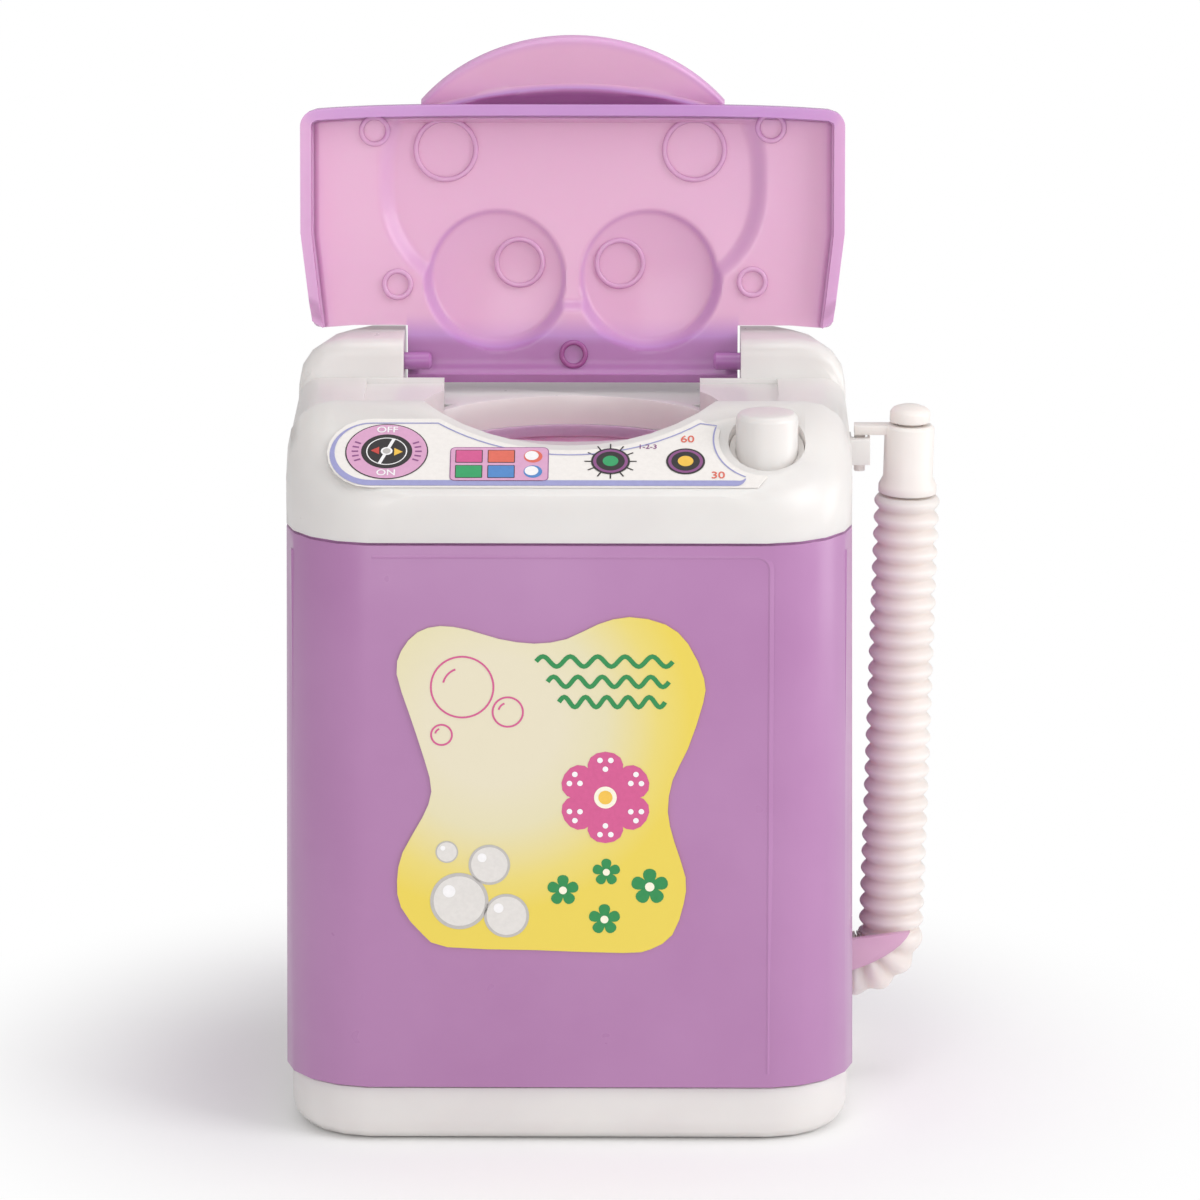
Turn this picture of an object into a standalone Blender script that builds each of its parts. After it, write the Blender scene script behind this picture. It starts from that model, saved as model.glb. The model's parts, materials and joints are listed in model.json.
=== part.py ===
"""Toy washing machine: a battery driven table toy with a lift-up lid.

Units are metres, +Z is up, +X is to the right and the front faces -Y.
The origin is the centre of the flat underside, on the surface it stands on.
The lid stands open, as it does when the tub is being filled.
"""

import math

import bmesh
import bpy
from mathutils import Matrix, Vector

# Running clearance between pieces that touch or slide on the real toy
GAP = 0.0003
# Clearance under a printed film that is stuck on
FILM_GAP = 0.0001
# Clearance of a bore that is pressed on its shaft
PRESS_GAP = 0.00005

# How finely round things are cut into flats
HOLE_SIDES = 12
ROD_SIDES = 16
FITTING_SIDES = 20
ROUND_SIDES = 24
TUBE_SIDES = 12
PIPE_SIDES = 10
WIRE_SIDES = 5
TURN_STEPS = 8
CAN_STEPS = 6
BEND_STEPS = 5
HOSE_BEND_STEPS = 16
FIN_STEPS = 8
SLOT_STEPS = 8
RECESS_STEPS = 24
TAB_STEPS = 14
LABEL_END_STEPS = 10
LABEL_WELL_STEPS = 8
LABEL_DIP_STEPS = 14
BORE_STEP = 4
LEAD_STEPS = 3
SMOOTH_ANGLE = math.radians(35.0)
LID_SMOOTH_ANGLE = math.radians(50.0)
MERGE_DISTANCE = 1e-7
DEPTH_DIGITS = 7

# Body: overall plan of the moulded shells
BODY_WIDTH = 0.0600
BODY_DEPTH = 0.0500
CORNER_RADIUS = 0.0090
CORNER_CREASE = math.radians(5.0)
CORNER_STEPS = 4
WALL = 0.0012

# Base tray
BASE_HEIGHT = 0.0062
BASE_INSET = 0.0006
BASE_EDGE_RADIUS = 0.0027
BASE_EDGE_STEPS = 3
FLOOR = 0.0012

# Housing
HOUSING_TOP = 0.0658
HOUSING_FLARE = 0.0005
POST_RADIUS = 0.0026
POST_INSET = 0.0064
POST_TOP = 0.0300
RIB_WALL = 0.0012
RIB_REACH = 0.0022
RIB_TOP_DROP = 0.0018
REAR_RIB_BOTTOM = 0.0200

# Top cover
FASCIA_TOP = 0.0712
PANEL_SLOPE = math.radians(28.8)
PANEL_RUN = 0.0133
LEDGE_DROP = 0.0029
COVER_FILLET = 0.0050
LEDGE_FILLET = 0.0025
FILLET_STEPS = 4
HUMP_TOP = 0.0796
HUMP_DEPTH = 0.0114
HUMP_INNER = 0.0185
HUMP_FRONT_RADIUS = 0.0018
HUMP_REAR_RADIUS = 0.0030
DECK_TOP = 0.0728
NOTCH_MARGIN = 0.0045

# Mouth, collar and the shallow recess round them
MOUTH_SHARE_OF_DEPTH = 0.330
MOUTH_SHARE_OF_WIDTH = 0.275
MOUTH_UNDER_CREST = 0.0043
COLLAR_WALL = 0.0012
COLLAR_BOTTOM = 0.0686
RECESS_MARGIN = 0.0060
RECESS_OFFSET = 0.0040
RECESS_DEPTH = 0.0006
MOUTH_SIDES = 32

# Inner tub
TUB_DECK = 0.0012
TUB_WALL = 0.0011
TUB_FLOOR_TOP = 0.0415
TUB_FLOOR = 0.0012
TUB_TAPER = 0.0008
TUB_CORNER = 0.0030
OUTLET_RADIUS = 0.0025
OUTLET_BORE = 0.0016
OUTLET_RISE = 0.0030

# Lid, drawn shut about its hinge axis and then turned open
HINGE_INSET = 0.0080
HINGE_Z = 0.0767
LID_OPEN = math.radians(98.0)
LID_INNER = 0.0021
LID_WALL = 0.0012
LID_FRONT_GAP = 0.0005
LID_REAR = 0.0038
LID_TAPER = 0.0012
LID_CORNER = 0.0008
WING_SWEEP = 0.0003
WING_CURVE = 0.0060
WING_OPEN = 0.0052
WING_LIFT = 0.0014
SKIRT_DEPTH = 0.0027
TONGUE_HALF_WIDTH = 0.0182
TONGUE_WRAP = math.radians(50.0)
PIN_RADIUS = 0.00095
WEB_INSET = 0.00019
PIN_BITE = 0.0030
PIN_TAIL = 0.0030
TAB_HALF_WIDTH = 0.0167
LENS_HALF_WIDTH = 0.0145
LENS_LENGTH = 0.0024
LENS_STEP = 0.0007
TAB_LENGTH = 0.0082
LID_SIDE_GAP = 0.0001
LID_FRONT_CORNER = 0.0018
LID_EDGE = 0.0006

# Raised animal face on the lid, measured forward from the hinge, for a lid of this half width
FACE_FITS_HALF_WIDTH = 0.0300
HEAD_CENTRE = 0.0200
HEAD_HALF_WIDTH = 0.0215
HEAD_HALF_LENGTH = 0.0147
HEAD_RISE = 0.0018
HEAD_SQUARENESS = 2.5
# Share of the outline and share of the rise, from the rim of a swelling to its top
DOME_STEPS = ((1.00, 0.00), (0.975, 0.42), (0.92, 0.68), (0.80, 0.86), (0.55, 0.97), (0.25, 1.00))
CHEEK_CENTRE = 0.0094
CHEEK_SPREAD = 0.0085
CHEEK_RADIUS = 0.0080
CHEEK_RISE = 0.0038
EYE_CENTRE = 0.0232
EYE_SPREAD = 0.0139
EYE_RADIUS = 0.0034
NOSTRIL_CENTRE = 0.0104
NOSTRIL_SPREAD = 0.0056
NOSTRIL_RADIUS = 0.0026
DISC_RISE = 0.0004

# Push button
BUTTON_INSET = 0.0091
BUTTON_SETBACK = 0.0057
BUTTON_RADIUS = 0.0033
BUTTON_TOP = 0.0787
BUTTON_DOME = 0.0007
WELL_RADIUS = 0.0041
WELL_WALL = 0.0010
WELL_BOTTOM = 0.0708
BUTTON_TRAVEL = 0.0016
FLANGE_RADIUS = 0.0048
FLANGE_THICKNESS = 0.0010
STEM_RADIUS = 0.0010
STEM_LENGTH = 0.0072
LEAF = 0.0003
LEAF_GAP = 0.0006
LEAF_WIDTH = 0.0030
LEAF_LENGTH = 0.0079
LEAF_OVERHANG = 0.0015
SWITCH_POST = 0.0026
SPRING_RADIUS = 0.0019
SPRING_WIRE = 0.0002
SPRING_TURNS = 3
CONTACT_TURNS = 3

# Printed films
FILM = 0.00015
# Edge of the front label as (x, height), from its upper left round by its right
LABEL_EDGE = (
    (-0.0181, 0.0520), (-0.0176, 0.0545), (-0.0159, 0.0565), (-0.0135, 0.0572), (-0.0106, 0.0568),
    (-0.0073, 0.0558), (-0.0036, 0.0553), (-0.0002, 0.0558), (0.0031, 0.0574), (0.0064, 0.0582),
    (0.0102, 0.0574), (0.0126, 0.0553), (0.0143, 0.0515), (0.0142, 0.0489), (0.0126, 0.0439),
    (0.0110, 0.0405), (0.0105, 0.0370), (0.0112, 0.0337), (0.0124, 0.0298), (0.0122, 0.0269),
    (0.0110, 0.0235), (0.0087, 0.0219), (0.0058, 0.0215), (-0.0036, 0.0218), (-0.0129, 0.0221),
    (-0.0155, 0.0235), (-0.0178, 0.0265), (-0.0182, 0.0294), (-0.0176, 0.0325), (-0.0155, 0.0363),
    (-0.0145, 0.0392), (-0.0152, 0.0426), (-0.0168, 0.0477),
)
PANEL_LABEL_INSET = 0.0045
PANEL_LABEL_MARGIN = 0.0010
LABEL_WELL_START = math.radians(165.6)
LABEL_TOP_SETBACK = 0.0029
LABEL_STEPS = 2

# Drive
MOTOR_WIDTH = 0.0201
MOTOR_THICKNESS = 0.0151
MOTOR_CAP = 0.0040
TERMINAL_X = 0.0050
TERMINAL_WIDTH = 0.0020
TERMINAL_REACH = 0.0010
MOTOR_TOP = 0.0386
NOSE_RADIUS = 0.0030
NOSE_HEIGHT = 0.0014
SHAFT_RADIUS = 0.0010
SHAFT_TOP = 0.0462
SEAL_RADIUS = 0.0035
PULSATOR_MARGIN = 0.0035
PULSATOR_THICKNESS = 0.0012
HUB_RADIUS = 0.0036
VANES = 4
VANE_HEIGHT = 0.0030
VANE_WIDTH = 0.0016
BRACKET = 0.0012
BOSS_INSET = 0.0023
BOSS_RADIUS = 0.0024
BOSS_DROP = 0.0060

# Screws
SCREW_RADIUS = 0.0009
SCREW_HEAD_RADIUS = 0.0019
SCREW_HEAD = 0.0011
BRACKET_SCREW_BITE = 0.0045
BASE_SCREW_LENGTH = 0.0100
DOOR_SCREW_LENGTH = 0.0038
DOOR_SCREW_SINK = 0.0001

# Battery bay
CELL_RADIUS = 0.0071
CELL_END_SPACE = 0.00525
CELL_NIPPLE_RADIUS = 0.0027
CELL_NIPPLE = 0.0010
CELL_INSET = 0.0106
CRADLE_WALL = 0.0008
CRADLE_HEIGHT = 0.0060
DOOR_LUG_SHARE = 0.4
DOOR_LUG_HALF = 0.0022
DOOR_LUG_LENGTH = 0.0048
DOOR_LUG_HEIGHT = 0.0024
DOOR_CORNER = 0.0030
DOOR_RIB_PITCH = 0.0024
DOOR_GROOVE = 0.0004
CONTACT = 0.0004
CONTACT_WIDTH = 0.0090
CONTACT_HEIGHT = 0.0100
SPRING_REACH = 0.0020

# Drain pipe and hose
HOSE_Z = 0.0126
HOSE_STANDOFF_LOW = 0.0051
HOSE_STANDOFF_TOP = 0.0064
HOSE_BEND = 0.0040
HOSE_RADIUS = 0.00355
HOSE_ROOT = 0.0030
HOSE_BORE = 0.0024
HOSE_PITCH = 0.00188
HOSE_START_INSET = 0.0050
BELLOWS_TOP = 0.0655
SLEEVE_RADIUS = 0.0027
SLEEVE_TOP = 0.0733
SLEEVE_RIM = 0.0009
PLUG_RADIUS = 0.0022
PLUG_TOP = 0.0755
PLUG_DEPTH = 0.0040
PLUG_DOME = 0.0008
PIPE_RADIUS = 0.0020
PIPE_BORE = 0.0013
PIPE_OFFSET = 0.0028
PIPE_BEND = 0.0030
OUTLET_REACH = 0.0020
SLEEVE_WALL = 0.0006
SLEEVE_SPIGOT = 0.0030
FIN_WALL = 0.0009
FIN_REACH = 0.0052
FIN_HEIGHT = 0.0060
FIN_TIP_ANGLE = math.radians(12.0)

# Hook that parks the hose on the cover
HOOK_PIN_RADIUS = 0.0006
HOOK_ARM_WIDTH = 0.0020
HOOK_ARM_HEIGHT = 0.0010
EAR_REACH = 0.0023
EAR_HEIGHT = 0.0028
EAR_WIDTH = 0.0040
HOOK_PIN_TIP = 0.0010

# Catches that hold the rear of the base tray
HOOK_NEAR = 0.0080
HOOK_WIDTH = 0.0060
HOOK_WALL = 0.0010
HOOK_RISE = 0.0040

# Wiring inside
LEAD_RADIUS = 0.0005
LEAD_SIDE_ROOM = 0.0032
# Each stop of a lead: the place it is measured from, then its offsets in x, y and z from there
LEAD_CELL_TO_MOTOR = (
    ("minus", 0.0005, -0.0059, 0.0020), ("minus", 0.0013, -0.0089, 0.0042),
    ("minus", 0.0068, -0.0099, 0.0070),
    ("motor", -0.0135, -0.0020, 0.0022), ("motor", -0.0085, 0.0010, 0.0020),
    ("motor", -0.0060, 0.0, 0.0012),
)
LEAD_CELL_TO_SWITCH = (
    ("plus", -0.0005, -0.0044, 0.0062), ("plus", 0.0, -0.0064, 0.0110),
    ("plus", 0.0004, -0.0139, 0.0210),
    ("switch", 0.0059, 0.0094, -0.0172), ("switch", 0.0031, 0.0024, -0.0072),
    ("switch", -0.0029, -0.0006, -0.0036),
    ("switch", -0.0059, 0.0, -0.0018),
)
LEAD_SWITCH_TO_MOTOR = (
    ("switch", -0.0059, 0.0038, 0.0010), ("switch", -0.0019, 0.0044, -0.0022),
    ("switch", -0.0009, 0.0064, -0.0142),
    ("switch", -0.0039, 0.0084, -0.0292), ("motor", 0.0150, -0.0130, 0.0060),
    ("motor", 0.0135, -0.0020, 0.0022),
    ("motor", 0.0085, 0.0010, 0.0020), ("motor", 0.0060, 0.0, 0.0012),
)

# Values worked out from the sizes above
HALF_WIDTH = BODY_WIDTH / 2
HALF_DEPTH = BODY_DEPTH / 2
MOUTH_RADIUS = min(MOUTH_SHARE_OF_DEPTH * BODY_DEPTH, MOUTH_SHARE_OF_WIDTH * BODY_WIDTH)
RECESS_RADIUS = MOUTH_RADIUS + RECESS_MARGIN
HUMP_FRONT = HALF_DEPTH - HUMP_DEPTH
HINGE_Y = HALF_DEPTH - HINGE_INSET
NOTCH_HALF_WIDTH = HUMP_INNER - NOTCH_MARGIN
PIN_REACH = HUMP_INNER + PIN_BITE
PIN_ROOT = HUMP_INNER - PIN_TAIL
BUTTON_X = HALF_WIDTH - BUTTON_INSET
PANEL_LABEL_LEFT = -(HALF_WIDTH - PANEL_LABEL_INSET)
CELL_LENGTH = BODY_WIDTH - 2 * CELL_END_SPACE
CELL_Y = HALF_DEPTH - CELL_INSET
HOSE_X_LOW = HALF_WIDTH + HOSE_STANDOFF_LOW
HOSE_X_TOP = HALF_WIDTH + HOSE_STANDOFF_TOP
HOSE_START = HALF_WIDTH - HOSE_START_INSET
DOOR_LUG_X = DOOR_LUG_SHARE * HALF_WIDTH
BOSS_X = MOUTH_RADIUS - BOSS_INSET
LEAF_ROOT = BUTTON_X - LEAF_LENGTH
FACE_SCALE = HALF_WIDTH / FACE_FITS_HALF_WIDTH
CREST_TOP = FASCIA_TOP + PANEL_RUN * math.tan(PANEL_SLOPE)
CREST_Y = -HALF_DEPTH + PANEL_RUN
TUB_Y = CREST_Y + MOUTH_RADIUS - MOUTH_UNDER_CREST
LID_REACH = HINGE_Y - CREST_Y - LID_FRONT_GAP
LEDGE_TOP = CREST_TOP - LEDGE_DROP
RECESS_TOP = LEDGE_TOP - RECESS_DEPTH
BUTTON_Y = CREST_Y - BUTTON_SETBACK
RIB_TOP = HOUSING_TOP - RIB_TOP_DROP
DECK_UNDER = RIB_TOP + GAP
CELL_Z = FLOOR + 2 * GAP + CELL_RADIUS
POST_X = HALF_WIDTH - POST_INSET
POST_Y = HALF_DEPTH - POST_INSET
MOUTH_RIM = COLLAR_BOTTOM - GAP
FLANGE_TOP = WELL_BOTTOM - GAP
FLANGE_BOTTOM = FLANGE_TOP - FLANGE_THICKNESS
ARM_BOTTOM = SLEEVE_TOP - HOOK_ARM_HEIGHT
EAR_TOP = ARM_BOTTOM - GAP
HOOK_PIN_X = HALF_WIDTH + 2 * GAP + HOOK_PIN_RADIUS
STEM_TIP = FLANGE_BOTTOM - STEM_LENGTH
LEAF_HIGH = STEM_TIP - BUTTON_TRAVEL - GAP - LEAF
LEAF_LOW = LEAF_HIGH - LEAF_GAP - LEAF
MOTOR_BOTTOM = CELL_Z + CELL_RADIUS + BRACKET + 3 * GAP
PULSATOR_RADIUS = MOUTH_RADIUS - PULSATOR_MARGIN
WING_STRAIGHT = HALF_WIDTH - WING_CURVE
SHAFT_BOTTOM = MOTOR_BOTTOM + MOTOR_CAP + 2 * GAP
OUTLET_END = MOUTH_RADIUS + OUTLET_REACH
PIPE_X = OUTLET_END + PIPE_OFFSET
SPIGOT_END = HOSE_X_LOW - HOSE_BEND
SLEEVE_BORE = HOSE_BORE - GAP - SLEEVE_WALL
HOSE_LEAN = math.atan((HOSE_X_TOP - HOSE_X_LOW) / (BELLOWS_TOP - HOSE_Z - HOSE_BEND))
BASE_SCREW_SEAT = FLOOR + SCREW_HEAD
DOOR_SCREW_Y = CELL_Y - CELL_RADIUS - GAP - DOOR_LUG_LENGTH / 2
LEAD_X = HALF_WIDTH - LEAD_SIDE_ROOM
TERMINAL_Y = TUB_Y + MOTOR_THICKNESS / 2 + 3 * LEAD_RADIUS
LEAD_PLACES = {
    "minus": (-LEAD_X, CELL_Y, CELL_Z),
    "plus": (LEAD_X, CELL_Y, CELL_Z),
    "motor": (0.0, TERMINAL_Y, MOTOR_BOTTOM),
    "switch": (BUTTON_X, BUTTON_Y, LEAF_LOW),
}


def clear_scene():
    """Remove every object the file opened with."""
    for old in list(bpy.data.objects):
        bpy.data.objects.remove(old, do_unlink=True)


def material(name, colour, roughness, metallic=0.0, alpha=1.0):
    """Give back a Principled material of one colour."""
    finish = bpy.data.materials.get(name)
    if finish:
        return finish
    finish = bpy.data.materials.new(name)
    finish.use_nodes = True
    shader = finish.node_tree.nodes["Principled BSDF"]
    shader.inputs["Base Color"].default_value = (*colour, 1.0)
    shader.inputs["Roughness"].default_value = roughness
    shader.inputs["Metallic"].default_value = metallic
    shader.inputs["Alpha"].default_value = alpha
    finish.diffuse_color = (*colour, alpha)
    return finish


def finish_colours():
    """Make the finishes that the pieces use."""
    return {
        "purple": material("purple_polystyrene", (0.44, 0.18, 0.40), 0.30),
        "lilac": material("lilac_clear_plastic", (0.70, 0.40, 0.62), 0.20, alpha=0.8),
        "white": material("white_plastic", (0.80, 0.79, 0.76), 0.30),
        "hose": material("milky_soft_plastic", (0.78, 0.70, 0.66), 0.40),
        "steel": material("plated_steel", (0.60, 0.60, 0.60), 0.30, metallic=1.0),
        "brass": material("brass", (0.65, 0.50, 0.25), 0.30, metallic=1.0),
        "black": material("black_plastic", (0.02, 0.02, 0.02), 0.45),
        "rubber": material("black_rubber", (0.03, 0.03, 0.03), 0.80),
        "red": material("red_lead_sleeve", (0.55, 0.03, 0.03), 0.50),
        "paper": material("yellow_printed_paper", (0.80, 0.67, 0.15), 0.45),
        "film": material("white_printed_film", (0.82, 0.82, 0.84), 0.35),
        "cell": material("battery_sleeve", (0.10, 0.25, 0.12), 0.35),
    }


FINISH = {}


def add_object(name, shape, finish, smooth_angle=SMOOTH_ANGLE):
    """Turn a bmesh into a named object whose faces point outwards."""
    bmesh.ops.remove_doubles(shape, verts=shape.verts, dist=MERGE_DISTANCE)
    bmesh.ops.recalc_face_normals(shape, faces=shape.faces)
    mesh = bpy.data.meshes.new(name)
    shape.to_mesh(mesh)
    shape.free()
    mesh.shade_smooth()
    mesh.set_sharp_from_angle(angle=smooth_angle)
    mesh.materials.append(FINISH[finish])
    made = bpy.data.objects.new(name, mesh)
    bpy.context.scene.collection.objects.link(made)
    return made


def combine(target, tool, operation):
    """Join, cut or intersect two objects and keep the result in the first."""
    step = target.modifiers.new(operation.lower(), "BOOLEAN")
    step.operation = operation
    step.solver = "EXACT"
    step.object = tool
    bpy.context.view_layer.update()
    graph = bpy.context.evaluated_depsgraph_get()
    result = bpy.data.meshes.new_from_object(target.evaluated_get(graph))
    target.modifiers.remove(step)
    old_mesh = target.data
    target.data = result
    result.name = target.name
    bpy.data.meshes.remove(old_mesh)
    bpy.data.objects.remove(tool, do_unlink=True)
    return target


def join(target, tool):
    """Weld a second solid onto the first."""
    return combine(target, tool, "UNION")


def cut(target, tool):
    """Cut a second solid out of the first."""
    return combine(target, tool, "DIFFERENCE")


def loft(name, rings, finish, smooth_angle=SMOOTH_ANGLE, closed_ends=True):
    """Skin a solid through rings that hold the same number of points."""
    shape = bmesh.new()
    layers = [[shape.verts.new(point) for point in ring] for ring in rings]
    count = len(rings[0])
    for lower, upper in zip(layers, layers[1:]):
        for i in range(count):
            j = (i + 1) % count
            shape.faces.new((lower[i], lower[j], upper[j], upper[i]))
    if closed_ends:
        shape.faces.new(list(reversed(layers[0])))
        shape.faces.new(layers[-1])
    return add_object(name, shape, finish, smooth_angle)


def extrude_outline(name, outline, low, high, finish, axis="Z", smooth_angle=SMOOTH_ANGLE):
    """Extrude a flat outline of (a, b) pairs along one axis."""
    places = {
        "X": lambda a, b, t: (t, a, b),
        "Y": lambda a, b, t: (a, t, b),
        "Z": lambda a, b, t: (a, b, t),
    }
    place = places[axis]
    rings = [[place(a, b, t) for a, b in outline] for t in (low, high)]
    return loft(name, rings, finish, smooth_angle)


def block(name, low, high, finish):
    """Make a box from its lowest and highest corners."""
    outline = [(low[0], low[1]), (high[0], low[1]), (high[0], high[1]), (low[0], high[1])]
    return extrude_outline(name, outline, low[2], high[2], finish)


def circle(radius, sides, centre=(0.0, 0.0), start=0.0):
    """Give the points of a circle as (a, b) pairs."""
    points = []
    for i in range(sides):
        angle = start + 2 * math.pi * i / sides
        points.append((centre[0] + radius * math.cos(angle), centre[1] + radius * math.sin(angle)))
    return points


def arc(centre, radius, start, stop, steps):
    """Give the points of an arc as (a, b) pairs, both ends included."""
    points = []
    for i in range(steps + 1):
        angle = start + (stop - start) * i / steps
        points.append((centre[0] + radius * math.cos(angle), centre[1] + radius * math.sin(angle)))
    return points


def rod(name, radius, low, high, centre, finish, axis="Z", sides=ROD_SIDES):
    """Make a plain round bar along one axis."""
    return extrude_outline(name, circle(radius, sides, centre), low, high, finish, axis)


def turned(name, profile, centre, finish, sides=ROUND_SIDES, smooth_angle=SMOOTH_ANGLE):
    """Revolve a profile of (radius, height) pairs about a vertical axis.

    The profile runs from one point on the axis to another, so the solid is closed.
    """
    shape = bmesh.new()
    layers = []
    for radius, height in profile:
        if radius <= 0.0:
            layers.append([shape.verts.new((centre[0], centre[1], height))])
        else:
            ring = circle(radius, sides, centre)
            layers.append([shape.verts.new((x, y, height)) for x, y in ring])
    for lower, upper in zip(layers, layers[1:]):
        for i in range(sides):
            j = (i + 1) % sides
            corners = [
                lower[i % len(lower)], lower[j % len(lower)], upper[j % len(upper)],
                upper[i % len(upper)]
            ]
            corners = list(dict.fromkeys(corners))
            if len(corners) > 2:
                shape.faces.new(corners)
    return add_object(name, shape, finish, smooth_angle)


def turned_ring(name, profile, centre, finish, sides=ROUND_SIDES, smooth_angle=SMOOTH_ANGLE):
    """Revolve a closed profile that stays clear of the axis."""
    rings = []
    for i in range(sides):
        angle = 2 * math.pi * i / sides
        ring = []
        for radius, height in profile:
            x = centre[0] + radius * math.cos(angle)
            y = centre[1] + radius * math.sin(angle)
            ring.append((x, y, height))
        rings.append(ring)
    rings.append(rings[0])
    return loft(name, rings, finish, smooth_angle, closed_ends=False)


def sweep_rings(path, radii, sides):
    """Place a circle square to the path at each of its points."""
    rings = []
    side = None
    for i, point in enumerate(path):
        before = path[max(i - 1, 0)]
        after = path[min(i + 1, len(path) - 1)]
        along = (after - before).normalized()
        if side is None:
            side = along.orthogonal().normalized()
        side = (side - along * side.dot(along)).normalized()
        other = along.cross(side)
        ring = []
        for k in range(sides):
            angle = 2 * math.pi * k / sides
            ring.append(point + radii[i] * (math.cos(angle) * side + math.sin(angle) * other))
        rings.append(ring)
    return rings


def swept_pipe(name, path, radii, bore, finish, sides=TUBE_SIDES, bore_step=1):
    """Sweep a hollow pipe whose outside radius may change along the path."""
    outer = sweep_rings(path, radii, sides)
    inner = sweep_rings(path, [bore] * len(path), sides)
    kept = inner[::bore_step]
    if kept[-1] is not inner[-1]:
        kept.append(inner[-1])
    rings = outer + list(reversed(kept)) + [outer[0]]
    return loft(name, rings, finish, closed_ends=False)


def swept_bar(name, path, radius, finish, sides=TURN_STEPS):
    """Sweep a solid round bar along a path."""
    return loft(name, sweep_rings(path, [radius] * len(path), sides), finish)


def corner_arc(setback, crease):
    """Radius of a corner's arc, and how far its centre lies inside each side.

    The flats end one setback from the sharp corner, and the arc leaves them at the crease angle.
    """
    half_turn = math.pi / 4 - crease
    radius = setback / (math.sqrt(2.0) * math.sin(half_turn))
    inside = setback / 2 + radius * math.cos(half_turn) / math.sqrt(2.0)
    return radius, inside


def plan_outline(half_width, half_depth, setback, crease=0.0, steps=CORNER_STEPS):
    """Outline of a rounded rectangle, whose corners may start with a faint crease."""
    radius, inside = corner_arc(setback, crease)
    points = []
    for k, (side, depth) in enumerate(((1, -1), (1, 1), (-1, 1), (-1, -1))):
        centre = (side * (half_width - inside), depth * (half_depth - inside))
        start = (k - 1) * math.pi / 2 + crease
        stop = k * math.pi / 2 - crease
        points += arc(centre, radius, start, stop, steps)
    return points


def flare_at(height):
    """Extra half width of the housing at a height, from its moulding draft."""
    share = (HOUSING_TOP - height) / (HOUSING_TOP - BASE_HEIGHT)
    return HOUSING_FLARE * share


def shell_ring(height, inset, extra=0.0):
    """One level outline of the housing, drawn in by an inset."""
    flare = flare_at(height) + extra
    outline = plan_outline(
        HALF_WIDTH + flare - inset, HALF_DEPTH + flare - inset, CORNER_RADIUS - inset, CORNER_CREASE
    )
    return [(x, y, height) for x, y in outline]


def front_face_y(height):
    """Where the housing's front face lies at a height."""
    return -(HALF_DEPTH + flare_at(height))


def panel_height(y):
    """Height of the sloped control panel at a depth."""
    return FASCIA_TOP + (y + HALF_DEPTH) * math.tan(PANEL_SLOPE)


def cover_half_width(y, inset=0.0):
    """Half width of the body's plan at a depth, inside its rounded corners."""
    if abs(y) <= HALF_DEPTH - CORNER_RADIUS:
        return HALF_WIDTH - inset
    radius, inside = corner_arc(CORNER_RADIUS - inset, CORNER_CREASE)
    past = abs(y) - (HALF_DEPTH - inset - inside)
    past = min(past, radius * math.cos(CORNER_CREASE))
    return HALF_WIDTH - inset - inside + math.sqrt(max(radius**2 - past**2, 0.0))


def hump_height(y, inset=0.0):
    """Height of the two hinge humps, rounded at their front and rear edges."""
    top = HUMP_TOP - inset
    front = HUMP_FRONT + inset
    rear = HALF_DEPTH - inset
    front_centre = front + HUMP_FRONT_RADIUS
    rear_centre = rear - HUMP_REAR_RADIUS
    if y < front_centre:
        fall = min(front_centre - y, HUMP_FRONT_RADIUS)
        return top - HUMP_FRONT_RADIUS + math.sqrt(HUMP_FRONT_RADIUS**2 - fall**2)
    if y > rear_centre:
        fall = min(y - rear_centre, HUMP_REAR_RADIUS)
        return top - HUMP_REAR_RADIUS + math.sqrt(HUMP_REAR_RADIUS**2 - fall**2)
    return top


def cover_section(y, top, fillet, half_width, bottom):
    """One upright slice of the cover, with its two top corners rounded."""
    ring = [(-half_width, y, bottom), (half_width, y, bottom)]
    centre = (half_width - fillet, top - fillet)
    for x, z in arc(centre, fillet, 0.0, math.pi / 2, FILLET_STEPS):
        ring.append((x, y, z))
    for x, z in reversed(arc(centre, fillet, 0.0, math.pi / 2, FILLET_STEPS)):
        ring.append((-x, y, z))
    return ring


def corner_depths(inset):
    """Depths of the slices that follow the rounded corners, from front to start of flat."""
    radius, inside = corner_arc(CORNER_RADIUS - inset, CORNER_CREASE)
    depths = []
    for i in range(CORNER_STEPS + 1):
        angle = CORNER_CREASE + (math.pi / 2 - 2 * CORNER_CREASE) * i / CORNER_STEPS
        depths.append(HALF_DEPTH - inset - inside + radius * math.cos(angle))
    return depths


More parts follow.
